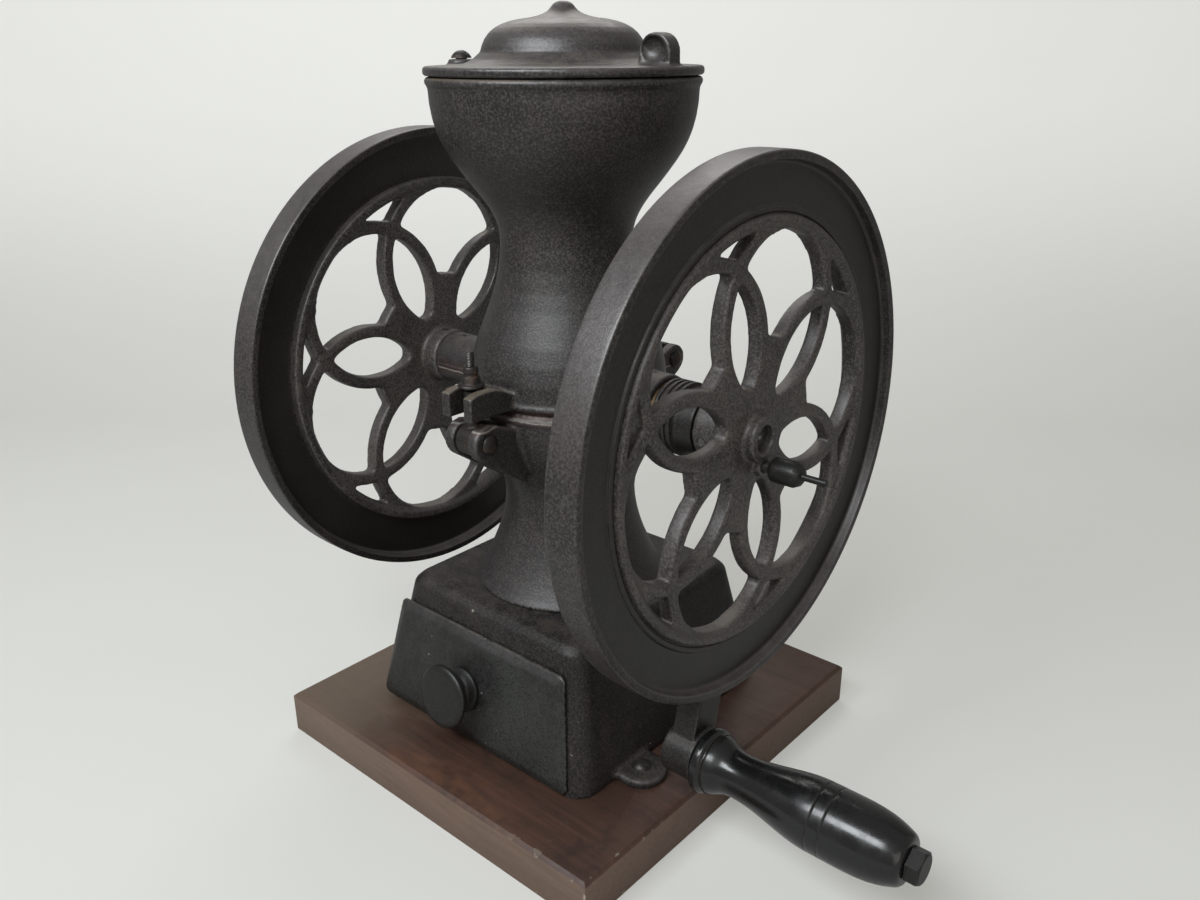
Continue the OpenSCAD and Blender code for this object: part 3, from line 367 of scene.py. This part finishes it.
def blackLacquer(name, rough=0.2):
    material, tree, shader = newFinish(name)
    points = objectPoints(tree)
    cloud = noise(tree, points, 60, 4, 0.6)
    scuff = noise(tree, objectPoints(tree, (60, 420, 420)), 1.0, 4, 0.65)
    speck = noise(tree, points, 900, 2, 0.5)
    colour = mixColour(tree, step(tree, scuff, 0.6, 0.8) * 0.35, (0.0065, 0.0065, 0.007, 1), (0.032, 0.030, 0.029, 1))
    edge = edges(tree, 1.0 * mm) * step(tree, cloud, 0.35, 0.6)
    colour = mixColour(tree, edge * 0.6, colour, (0.075, 0.05, 0.035, 1))
    paint(tree, shader, colour=colour, coat=0.35,
          roughness=rough + 0.25 * step(tree, cloud, 0.4, 0.75) + 0.15 * step(tree, speck, 0.6, 0.8) + 0.25 * edge)
    shader.inputs["Coat Roughness"].default_value = 0.14
    bump(tree, shader, 0.8 * cloud + 0.25 * scuff, 0.16, 0.4 * mm)
    return material


def oldSteel(name, look):
    material, tree, shader = newFinish(name)
    points = objectPoints(tree)
    cloud = noise(tree, points, 120, 5, 0.65)
    grit = noise(tree, points, 1300, 3, 0.6)
    rust = step(tree, cloud + 0.35 * (grit - 0.5), look["rustFrom"], look["rustFrom"] + 0.16)
    edge = edges(tree, 0.5 * mm) * look["edgeShare"]
    colour = mixColour(tree, step(tree, grit, 0.35, 0.7), look["plain"], look["plainDark"])
    colour = mixColour(tree, rust, colour, mixColour(tree, grit, look["rust"], look["rustDark"]))
    colour = mixColour(tree, edge * (1 - 0.5 * rust), colour, look["bright"])
    paint(tree, shader, colour=colour, metal=look["metal"] * (1 - 0.85 * rust),
          roughness=look["rough"] + 0.4 * rust + 0.15 * (grit - 0.5) - 0.1 * edge)
    bump(tree, shader, grit + 1.5 * rust, 0.3, 0.15 * mm)
    return material


steel = {
    "plain": (0.20, 0.192, 0.182, 1),
    "plainDark": (0.12, 0.114, 0.108, 1),
    "bright": (0.36, 0.35, 0.33, 1),
    "rust": (0.105, 0.055, 0.033, 1),
    "rustDark": (0.045, 0.026, 0.018, 1),
    "rustFrom": 0.6,
    "edgeShare": 0.5,
    "metal": 0.9,
    "rough": 0.34,
}
rustySteel = dict(steel, plain=(0.045, 0.040, 0.037, 1), plainDark=(0.022, 0.020, 0.019, 1),
                  bright=(0.17, 0.16, 0.15, 1), rustFrom=0.54, rough=0.42, metal=0.5)
blackSteel = dict(steel, plain=(0.032, 0.031, 0.030, 1), plainDark=(0.020, 0.019, 0.019, 1),
                  bright=(0.11, 0.105, 0.10, 1), rustFrom=0.64, metal=0.5, rough=0.4)
bronze = dict(steel, plain=(0.16, 0.10, 0.05, 1), plainDark=(0.08, 0.05, 0.027, 1),
              bright=(0.30, 0.21, 0.11, 1), rust=(0.05, 0.035, 0.018, 1), rustDark=(0.03, 0.02, 0.012, 1), rustFrom=0.5)
tinplate = dict(steel, plain=(0.42, 0.42, 0.40, 1), plainDark=(0.30, 0.30, 0.285, 1),
                bright=(0.6, 0.6, 0.58, 1), rustFrom=0.62, rough=0.36)
burrIron = dict(steel, plain=(0.17, 0.165, 0.16, 1), plainDark=(0.09, 0.088, 0.085, 1), rustFrom=0.62, rough=0.4)


def paleGround(name, look):
    # what the camera sees glows a little, so the floor stays pale and throws little light on the iron
    material, tree, shader = newFinish(name)
    points = objectPoints(tree)
    cloud = noise(tree, points, 7, 3, 0.5)
    seen = addNode(tree, "ShaderNodeLightPath", {}, {}, "Is Camera Ray")
    wall = step(tree, placeAlong(tree, "Z"), 0, 0.35)
    paint(tree, shader, colour=mixColour(tree, cloud, look["colour"], look["tint"]), roughness=0.75)
    glow = mixColour(tree, wall, look["floorGlow"], look["wallGlow"])
    tree.links.new(mixColour(tree, seen, (0, 0, 0, 1), glow).socket, shader.inputs["Emission Color"])
    shader.inputs["Emission Strength"].default_value = 1
    return material


finishes = {
    "board_wood": boardWood("board wood", wood),
    "cast_iron": castIron("cast iron", iron),
    "rusty_steel": oldSteel("rusty steel", rustySteel),
    "plain_steel": oldSteel("plain steel", steel),
    "bronze": oldSteel("bronze", bronze),
    "burr_iron": oldSteel("burr iron", burrIron),
    "black_steel": oldSteel("black steel", blackSteel),
    "black_lacquer": blackLacquer("black lacquer"),
    "tinplate": oldSteel("tinplate", tinplate),
}
wheelLook = dict(iron, brown=(0.044, 0.038, 0.034, 1), rough=0.44, ior=1.62, rings=True, topDust=0.5, dustAndTopLightShare=0.5)
# the arms take a lighter copy of the wheel iron: partly dust on the arms, partly painted light on their faces
armIronDustAndLight = castIron("arm iron dust and painted light", dict(wheelLook, black=(0.045, 0.041, 0.039, 1), brown=(0.095, 0.083, 0.074, 1),
                                        pit=(0.02, 0.018, 0.017, 1), speck=(0.16, 0.145, 0.135, 1)))
# the rims take a paler, stronger painted top light, with dust, than the other iron
rimIron = castIron("rim iron", dict(wheelLook, crispEdges=True, wearShare=0.8, rough=0.4, dustAndTopLightShare=0.8,
                                    dustAndTopLight=(0.12, 0.108, 0.108, 1)))
bodyIron = castIron("body iron", dict(iron, seam=True, rough=0.46, ior=1.62, dustAndTopLightFrom=0.0, dustAndTopLightShare=0.4))
lidIron = castIron("lid iron", dict(iron, rough=0.4, ior=1.66, dustAndTopLightShare=0.65))
darkIron = castIron("dark iron", dict(iron, black=(0.012, 0.011, 0.011, 1), brown=(0.022, 0.019, 0.018, 1),
                                      purple=(0.020, 0.017, 0.018, 1), speckShare=0.25, dustAndTopLightShare=0.1, topDust=0.3))
baseIron = castIron("base iron", dict(iron, purple=(0.024, 0.019, 0.021, 1), speckShare=0.3, fleckShare=0.8, rustShare=0.35,
                                      topDust=0.25, dustAndTopLightShare=0.1, rough=0.5, ior=1.4, grain=0.35))
drawerIron = castIron("drawer iron", dict(iron, brown=(0.034, 0.037, 0.034, 1), purple=(0.034, 0.037, 0.034, 1),
                                          speckShare=0.1, fleckShare=0.6, rustShare=0.12, grain=0.25))
print("coffee mill: finishes made")


# Floor and lamps

ground = {
    "halfWidth": 2.2,
    "wallBehind": 0.85,
    "wallHeight": 2.4,
    "cove": 0.3,
    "colour": (0.45, 0.45, 0.43, 1),
    "tint": (0.43, 0.43, 0.412, 1),
    "floorGlow": (0.262, 0.264, 0.250, 1),
    "wallGlow": (0.475, 0.478, 0.458, 1),
}


def layGround(look):
    # a floor that turns up into a wall behind the mill, square to the camera
    deselectAll()
    bpy.ops.mesh.primitive_plane_add(size=2 * look["halfWidth"], location=(0, look["wallBehind"] - look["halfWidth"], 0))
    floor = bpy.context.object
    floor.name = "floor"
    bpy.ops.object.transform_apply(location=True, rotation=True, scale=True)
    far = max(v.co.y for v in floor.data.vertices)
    bpy.ops.object.mode_set(mode="EDIT")
    bpy.ops.mesh.select_all(action="DESELECT")
    bpy.ops.object.mode_set(mode="OBJECT")
    for edge in floor.data.edges:
        edge.select = all(abs(floor.data.vertices[i].co.y - far) < 1e-6 for i in edge.vertices)
    bpy.ops.object.mode_set(mode="EDIT")
    bpy.ops.mesh.select_mode(type="EDGE")
    bpy.ops.mesh.extrude_region_move(TRANSFORM_OT_translate={"value": (0, 0, look["wallHeight"])})
    bpy.ops.object.mode_set(mode="OBJECT")
    cove = floor.modifiers.new("cove", "BEVEL")
    cove.width = look["cove"]
    cove.segments = 16
    cove.limit_method = "ANGLE"
    bpy.ops.object.modifier_apply(modifier="cove")
    bpy.ops.object.shade_smooth()
    floor.location.z = -0.2 * mm
    floor.rotation_euler.z = math.radians(camera["azimuth"] - 3)
    floor.data.materials.append(paleGround("pale ground", look))


lamps = {
    "key": {"place": (0.06, -0.95, 1.12), "aim": (0, 0, 0.25), "size": (1.1, 0.45), "power": 17,
            "colour": (0.92, 0.97, 1.0)},
    "fill": {"place": (1.15, -0.75, 0.55), "aim": (0, 0, 0.18), "size": (0.8, 0.8), "power": 2.0,
             "colour": (1.0, 0.96, 0.9)},
    "back": {"place": (-0.5, 0.52, 0.95), "aim": (0, 0, 0.2), "size": (0.7, 0.5), "power": 3.0,
             "colour": (1.0, 0.98, 0.95)},
    "worldColour": (0.84, 0.81, 0.77, 1),
    "worldStrength": 0.33,
    "worldSeen": (0.60, 0.60, 0.575, 1),
}


def hangLamp(name, look):
    light = bpy.data.lights.new(name, "AREA")
    light.shape = "RECTANGLE"
    light.size, light.size_y = look["size"]
    light.energy = look["power"]
    light.color = look["colour"]
    lamp = bpy.data.objects.new(name, light)
    bpy.context.scene.collection.objects.link(lamp)
    aim = Vector(look["aim"]) - Vector(look["place"])
    lamp.location = look["place"]
    lamp.rotation_euler = aim.to_track_quat("-Z", "Y").to_euler()


def lightWorld(look):
    world = bpy.data.worlds.new("world")
    bpy.context.scene.world = world
    world.use_nodes = True
    tree = world.node_tree
    sky = tree.nodes["Background"]
    sky.inputs["Color"].default_value = look["worldColour"]
    sky.inputs["Strength"].default_value = look["worldStrength"]
    seen = addNode(tree, "ShaderNodeLightPath", {}, {}, "Is Camera Ray")
    pale = addNode(tree, "ShaderNodeBackground", {}, {"Color": look["worldSeen"], "Strength": 1})
    both = addNode(tree, "ShaderNodeMixShader", {}, {0: seen, 1: Wire(tree, sky.outputs[0]), 2: pale})
    tree.links.new(both.socket, tree.nodes["World Output"].inputs["Surface"])


placeCamera(camera)
layGround(ground)
hangLamp("key lamp", lamps["key"])
hangLamp("fill lamp", lamps["fill"])
hangLamp("back lamp", lamps["back"])
lightWorld(lamps)
bpy.context.scene.view_settings.view_transform = "Standard"
print("coffee mill: camera, floor and lamps placed")


# Tools that the pieces share

def settle(piece, node, finish=None):
    # dresses a finished piece and hands it to its body
    piece.data.materials.clear()
    piece.data.materials.append(finish or finishes[slotOfNode[node]])
    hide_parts(node)
    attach(piece, bodyOfNode[node])


def copyNode(node, name):
    piece = bpy.data.objects.new(name, frame["nodes"][node].data.copy())
    bpy.context.scene.collection.objects.link(piece)
    piece.data.materials.clear()
    selectOnly(piece)
    bpy.ops.object.mode_set(mode="EDIT")
    bpy.ops.mesh.select_all(action="SELECT")
    bpy.ops.mesh.remove_doubles(threshold=0.001 * mm)
    bpy.ops.object.mode_set(mode="OBJECT")
    bpy.ops.mesh.customdata_custom_splitnormals_clear()
    return piece


def cutWith(piece, cutter, operation):
    selectOnly(piece)
    cut = piece.modifiers.new("cut", "BOOLEAN")
    cut.operation = operation
    cut.solver = "EXACT"
    cut.object = cutter
    bpy.ops.object.modifier_apply(modifier="cut")
    bpy.data.objects.remove(cutter, do_unlink=True)


def soften(piece, grain, rounds):
    # remeshed in even small faces, then smoothed so that its edges and corners round over
    selectOnly(piece)
    remesh = piece.modifiers.new("remesh", "REMESH")
    remesh.mode = "VOXEL"
    remesh.voxel_size = grain
    remesh.adaptivity = 0
    bpy.ops.object.modifier_apply(modifier="remesh")
    smooth = piece.modifiers.new("smooth", "SMOOTH")
    smooth.factor = 0.5
    smooth.iterations = rounds
    bpy.ops.object.modifier_apply(modifier="smooth")
    bpy.ops.object.shade_smooth()


def bend(a, b, c, d, turns):
    # points along a cubic curve, the first left out
    a, b, c, d = (Vector(p) for p in (a, b, c, d))
    ts = [(k + 1) / turns for k in range(turns)]
    return [a * (1 - t) ** 3 + b * 3 * t * (1 - t) ** 2 + c * 3 * t * t * (1 - t) + d * t ** 3 for t in ts]


def softCorners(points, turns=4):
    # an outline of (radius, height, corner radius) with each corner made a short curve
    outline = []
    for i, (x, y, corner) in enumerate(points):
        here = Vector((x, y))
        if not corner:
            outline.append(here)
            continue
        before = Vector(points[i - 1][:2]) - here
        after = Vector(points[(i + 1) % len(points)][:2]) - here
        first = here + before.normalized() * min(corner, before.length / 2)
        last = here + after.normalized() * min(corner, after.length / 2)
        for k in range(turns + 1):
            t = k / turns
            outline.append(first * (1 - t) ** 2 + here * 2 * t * (1 - t) + last * t * t)
    return outline


def turnOnLathe(name, outline, steps=96, closed=False):
    # the outline, radius against height, is drawn from one vertex and spun about Z
    points = [Vector((p[0], 0, p[1])) for p in outline]
    if closed:
        points.append(points[0])
    deselectAll()
    bpy.ops.mesh.primitive_plane_add(size=1 * mm)
    piece = bpy.context.object
    piece.name = name
    bpy.ops.object.mode_set(mode="EDIT")
    bpy.ops.mesh.select_mode(type="VERT")
    bpy.ops.mesh.select_all(action="SELECT")
    bpy.ops.mesh.merge(type="CENTER")
    bpy.ops.transform.translate(value=points[0])
    for here, there in zip(points, points[1:]):
        bpy.ops.mesh.extrude_region_move(TRANSFORM_OT_translate={"value": there - here})
    bpy.ops.mesh.select_all(action="SELECT")
    bpy.ops.mesh.remove_doubles(threshold=0.001 * mm)
    bpy.ops.mesh.spin(steps=steps, angle=math.tau, center=(0, 0, 0), axis=(0, 0, 1))
    bpy.ops.mesh.select_all(action="SELECT")
    bpy.ops.mesh.remove_doubles(threshold=0.001 * mm)
    bpy.ops.mesh.normals_make_consistent(inside=False)
    bpy.ops.object.mode_set(mode="OBJECT")
    bpy.ops.object.shade_smooth_by_angle(angle=math.radians(38))
    return piece


def putAt(piece, place, turn=(0, 0, 0)):
    selectOnly(piece)
    piece.location = place
    piece.rotation_euler = turn
    bpy.ops.object.transform_apply(location=True, rotation=True, scale=True)


towardsX = (0, math.pi / 2, 0)
towardsMinusX = (0, -math.pi / 2, 0)


# Castings: each is a copy of its CAD node whose edges are softened as a sand mould leaves them

castings = {
    "base_casting": {"grain": 1.3 * mm, "rounds": 3, "finish": baseIron},
    "lower_casting": {"grain": 1.1 * mm, "rounds": 3, "finish": bodyIron},
    "upper_casting": {"grain": 1.1 * mm, "rounds": 3, "finish": bodyIron},
    "lid": {"grain": 0.85 * mm, "rounds": 4, "finish": lidIron},
    "drawer_front": {"grain": 0.8 * mm, "rounds": 3, "finish": drawerIron},
    "adjusting_nut": {"grain": 0.5 * mm, "rounds": 2, "finish": darkIron},
}


def makeCastings(looks):
    for node, look in looks.items():
        piece = copyNode(node, node + "_soft")
        soften(piece, look["grain"], look["rounds"])
        settle(piece, node, look["finish"])
        print("coffee mill:", node, "softened,", len(piece.data.polygons), "faces")


makeCastings(castings)


# Flywheels: a turned rim, and arms, ring and hub softened from the CAD node inside it

rim = {
    "width": 18 * mm,
    "faceProud": 1.5 * mm,
    "lip": 4.5 * mm,
    "crown": 0.15 * mm,
    "bandDeep": 5.5 * mm,
    "bandThick": 5 * mm,
    "beadAt": 110 * mm,
    "bead": 1.3 * mm,
    "ringOut": 108 * mm,
    "overlap": 1.5 * mm,
    "steps": 180,
}

arms = {"grain": 0.9 * mm, "rounds": 9, "from": 24 * mm, "to": 98 * mm, "moreRounds": 12}


def makeRim(node, outward, look):
    low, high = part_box(node)
    radius = high.z - axleZ
    half = look["width"] / 2
    inner = radius - look["lip"]
    bandFace = half - look["bandDeep"]
    bandBack = bandFace - look["bandThick"]
    start = look["ringOut"] - look["overlap"]
    edge = radius - look["crown"]
    outline = softCorners([
        (start, bandBack, 0), (inner, bandBack, 2 * mm), (inner, -half, 1 * mm), (edge, -half, 1 * mm),
        (radius, -half * 0.5, 2 * mm), (radius, half * 0.5, 2 * mm), (edge, half, 1 * mm),
        (inner, half, 1 * mm), (inner - 0.6 * mm, bandFace, 2 * mm),
        (look["beadAt"] + 1.2 * look["bead"], bandFace, 0.5 * mm),
        (look["beadAt"] + look["bead"], bandFace + look["bead"], 1 * mm),
        (look["beadAt"] - look["bead"], bandFace + look["bead"], 1 * mm),
        (look["beadAt"] - 1.2 * look["bead"], bandFace, 0.5 * mm), (start, bandFace, 0)])
    piece = turnOnLathe(node + "_rim", outline, look["steps"], closed=True)
    face = high.x if outward > 0 else low.x
    putAt(piece, (face - outward * (look["faceProud"] + half), 0, axleZ), towardsX if outward > 0 else towardsMinusX)
    settle(piece, node, rimIron)


def makeArms(node, look):
    piece = copyNode(node, node + "_arms")
    low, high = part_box(node)
    bpy.ops.mesh.primitive_cylinder_add(vertices=192, radius=rim["ringOut"] - 0.2 * mm, depth=2 * (high.x - low.x),
                                        location=((low.x + high.x) / 2, 0, axleZ), rotation=towardsX)
    cutWith(piece, bpy.context.object, "INTERSECT")
    soften(piece, look["grain"], look["rounds"])
    for vertex in piece.data.vertices:
        away = math.hypot(vertex.co.y, vertex.co.z - axleZ)
        vertex.select = look["from"] < away < look["to"]
    bpy.context.tool_settings.mesh_select_mode = (True, False, False)
    bpy.ops.object.mode_set(mode="EDIT")
    bpy.ops.mesh.vertices_smooth(factor=0.5, repeat=look["moreRounds"])
    bpy.ops.object.mode_set(mode="OBJECT")
    # the arms' lighter iron is partly painted light
    settle(piece, node, armIronDustAndLight)
    print("coffee mill:", node, "arms,", len(piece.data.polygons), "faces")


for node, outward in (("left_flywheel", -1), ("crank_wheel", 1)):
    makeRim(node, outward, rim)
    makeArms(node, arms)


# Boss on the crank wheel's rim that holds the handle

crankBoss = {"radius": 14 * mm, "webWidth": 19.6 * mm, "webInset": 2 * mm, "grain": 0.7 * mm, "rounds": 7}


def makeCrankBoss(look):
    centre = middleOf("crank_bolt")
    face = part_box("crank_wheel")[1].x - rim["faceProud"]
    middle = face - rim["width"] / 2
    deselectAll()
    bpy.ops.mesh.primitive_cylinder_add(vertices=96, radius=look["radius"], depth=rim["width"],
                                        location=(middle, centre.y, centre.z), rotation=towardsX)
    boss = bpy.context.object
    boss.name = "crank_boss"
    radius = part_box("crank_wheel")[1].z - axleZ
    arm = Vector((0, centre.y, centre.z - axleZ))
    start = arm.normalized() * (radius - rim["lip"] / 2)
    bpy.ops.mesh.primitive_cube_add(size=1, location=Vector((middle, 0, axleZ)) + (start + arm) / 2,
                                    rotation=(math.atan2(arm.z, arm.y), 0, 0),
                                    scale=(rim["width"] - 2 * look["webInset"], (arm - start).length, look["webWidth"]))
    web = bpy.context.object
    selectOnly(boss, web)
    bpy.ops.object.join()
    bpy.ops.object.transform_apply(location=True, rotation=True, scale=True)
    soften(boss, look["grain"], look["rounds"])
    # the boss takes the darker iron rather than its wheel's own: painted shade under the rim behind the collar
    settle(boss, "crank_wheel", darkIron)


makeCrankBoss(crankBoss)
print("coffee mill: wheels made")


# Grip: a turned wooden handle with a collar and two scored rings

grip = {
    "collar": 5.5 * mm,
    "neckAt": 0.19,
    "neckRadius": 11.6 * mm,
    "bellyFrom": 0.58,
    "bellyTo": 0.72,
    "endRadius": 13 * mm,
    "bore": 5.06 * mm,
    "scored": (0.60, 0.66),
    "scoreDeep": 0.25 * mm,
    "scoreWide": 0.35 * mm,
}


def makeGrip(look):
    low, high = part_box("crank_grip")
    length = high.x - low.x
    belly = (high.z - low.z) / 2
    collarRadius = belly - 0.4 * mm
    collar = look["collar"]
    outline = softCorners([(look["bore"], 0, 0), (collarRadius, 0, 1.2 * mm), (collarRadius, 0.75 * collar, 1 * mm),
                           (collarRadius - 2 * mm, collar, 0.6 * mm), (collarRadius - 1 * mm, 1.35 * collar, 0.8 * mm)])
    neck = (look["neckRadius"], look["neckAt"] * length)
    outline += bend(outline[-1], (collarRadius - 2.5 * mm, 2.3 * collar), (neck[0], neck[1] * 0.6), neck, 10)
    first = (belly, look["bellyFrom"] * length)
    last = (belly, look["bellyTo"] * length)
    outline += bend(neck, (neck[0], neck[1] * 1.7), (belly - 0.3 * mm, first[1] - 14 * mm), first, 14)
    for share in look["scored"]:
        at = share * length
        wide = look["scoreWide"]
        outline += [Vector((belly, at + k * wide)) for k in (-4, -1)] + [Vector((belly - look["scoreDeep"], at))]
        outline += [Vector((belly, at + k * wide)) for k in (1, 4)]
    outline.append(Vector(last))
    shoulder = (look["endRadius"], length - 2.5 * mm)
    outline += bend(last, (belly, last[1] + 16 * mm), (belly - 2 * mm, length - 9 * mm), shoulder, 12)
    outline += bend(shoulder, (look["endRadius"] - 0.8 * mm, length - 0.8 * mm), (look["endRadius"] - 2 * mm, length),
                    (look["endRadius"] - 4 * mm, length), 4)
    outline.append(Vector((look["bore"], length)))
    piece = turnOnLathe("grip_turned", outline, 96, closed=True)
    centre = middleOf("crank_grip")
    putAt(piece, (low.x, centre.y, centre.z), towardsX)
    settle(piece, "crank_grip")


makeGrip(grip)


# Hexagon bolt through the grip, its corners chamfered as a turned nut's are

bolt = {"shank": 5 * mm, "flats": 15 * mm, "head": 7 * mm, "chamfer": 1.2 * mm, "turn": 12}


def makeCrankBolt(look):
    low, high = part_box("crank_bolt")
    centre = middleOf("crank_bolt")
    corner = look["flats"] / 2 / math.cos(math.radians(30))
    deselectAll()
    bpy.ops.mesh.primitive_cylinder_add(vertices=6, radius=corner, depth=look["head"],
                                        location=(0, 0, look["head"] / 2), rotation=(0, 0, math.radians(30)))
    head = bpy.context.object
    head.name = "crank_bolt_head"
    bpy.ops.object.transform_apply(location=True, rotation=True, scale=True)
    top = look["head"]
    cap = turnOnLathe("cap", [Vector((0, -1 * mm)), Vector((corner + 1 * mm, -1 * mm)),
                              Vector((corner + 1 * mm, top - look["chamfer"] * 1.5)),
                              Vector((look["flats"] / 2 - 0.6 * mm, top + 0.02 * mm)), Vector((0, top + 0.02 * mm))], 64)
    cutWith(head, cap, "INTERSECT")
    shank = turnOnLathe("shank", [Vector((0, 0)), Vector((look["shank"], 0)),
                                  Vector((look["shank"], high.x - low.x - top + 1 * mm)),
                                  Vector((0, high.x - low.x - top + 1 * mm))], 48)
    putAt(head, (high.x - top, centre.y, centre.z), (0, math.pi / 2, 0))
    selectOnly(head)
    bpy.ops.object.shade_smooth_by_angle(angle=math.radians(25))
    settle(head, "crank_bolt")
    putAt(shank, (low.x, centre.y, centre.z), towardsX)
    settle(shank, "crank_bolt")


makeCrankBolt(bolt)


# Threads: ridges at a real pitch, turned on a lathe

def threadOutline(radius, deep, pitch, length):
    outline = [Vector((0, 0)), Vector((radius - deep, 0))]
    turns = int(length / pitch)
    for k in range(turns):
        outline += [Vector((radius, (k + 0.5) * pitch)), Vector((radius - deep, (k + 1) * pitch))]
    outline += [Vector((radius - 2 * deep, length)), Vector((0, length))]
    return outline


swingBolt = {"thread": 2.25 * mm, "deep": 0.25 * mm, "pitch": 0.8 * mm, "seatUp": 28.5 * mm,
             "grain": 0.45 * mm, "rounds": 3}


def makeSwingBolt(look):
    pin = middleOf("clamp_pin")
    seat = pin.z + look["seatUp"]
    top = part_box("swing_bolt")[1].z
    piece = copyNode("swing_bolt", "swing_bolt_soft")
    bpy.ops.object.mode_set(mode="EDIT")
    bpy.ops.mesh.select_all(action="SELECT")
    bpy.ops.mesh.bisect(plane_co=(0, 0, seat - 1.5 * mm), plane_no=(0, 0, 1), use_fill=True, clear_outer=True)
    bpy.ops.object.mode_set(mode="OBJECT")
    soften(piece, look["grain"], look["rounds"])
    settle(piece, "swing_bolt")
    start = seat - 4 * mm
    thread = turnOnLathe("swing_bolt_thread", threadOutline(look["thread"], look["deep"], look["pitch"], top - start), 40)
    putAt(thread, (0, pin.y, start))
    settle(thread, "swing_bolt")


makeSwingBolt(swingBolt)

lockScrew = {"radius": 3 * mm, "deep": 0.3 * mm, "pitch": 1.0 * mm}


def makeLockScrew(look):
    low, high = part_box("lock_screw")
    centre = middleOf("lock_screw")
    thread = turnOnLathe("lock_screw_thread", threadOutline(look["radius"], look["deep"], look["pitch"], high.x - low.x), 40)
    putAt(thread, (low.x, centre.y, centre.z), towardsX)
    settle(thread, "lock_screw")


makeLockScrew(lockScrew)
print("coffee mill: grip, bolt and threads turned")


# Small parts that keep crisp edges: faces joined again, then every sharp edge bevelled

crispPieces = {
    "base_board": 1.2 * mm,
    "base_screws": 0.3 * mm,
    "lid_pivot_screw": 0.3 * mm,
    "rear_hinge_pin": 0.3 * mm,
    "clamp_pin": 0.3 * mm,
    "clamp_nut": 0.25 * mm,
    "crank_washer": 0.3 * mm,
    "lock_knob": 0.4 * mm,
    "drawer_knob": 0.4 * mm,
}


def makeCrispPieces(bevels):
    for node, bevel in bevels.items():
        piece = copyNode(node, node + "_crisp")
        bpy.ops.object.mode_set(mode="EDIT")
        bpy.ops.mesh.select_all(action="SELECT")
        bpy.ops.mesh.dissolve_limited(angle_limit=math.radians(1.5))
        bpy.ops.object.mode_set(mode="OBJECT")
        edge = piece.modifiers.new("edge", "BEVEL")
        edge.width = bevel
        edge.segments = 2
        edge.limit_method = "ANGLE"
        edge.angle_limit = math.radians(35)
        bpy.ops.object.modifier_apply(modifier="edge")
        bpy.ops.object.shade_smooth_by_angle(angle=math.radians(40))
        settle(piece, node)


makeCrispPieces(crispPieces)
print("coffee mill: small parts bevelled")


# Every other CAD node keeps its mesh and takes its finish

for node, part in frame["nodes"].items():
    part.data.materials.clear()
    part.data.materials.append(finishes[slotOfNode[node]])

print("coffee mill: done")
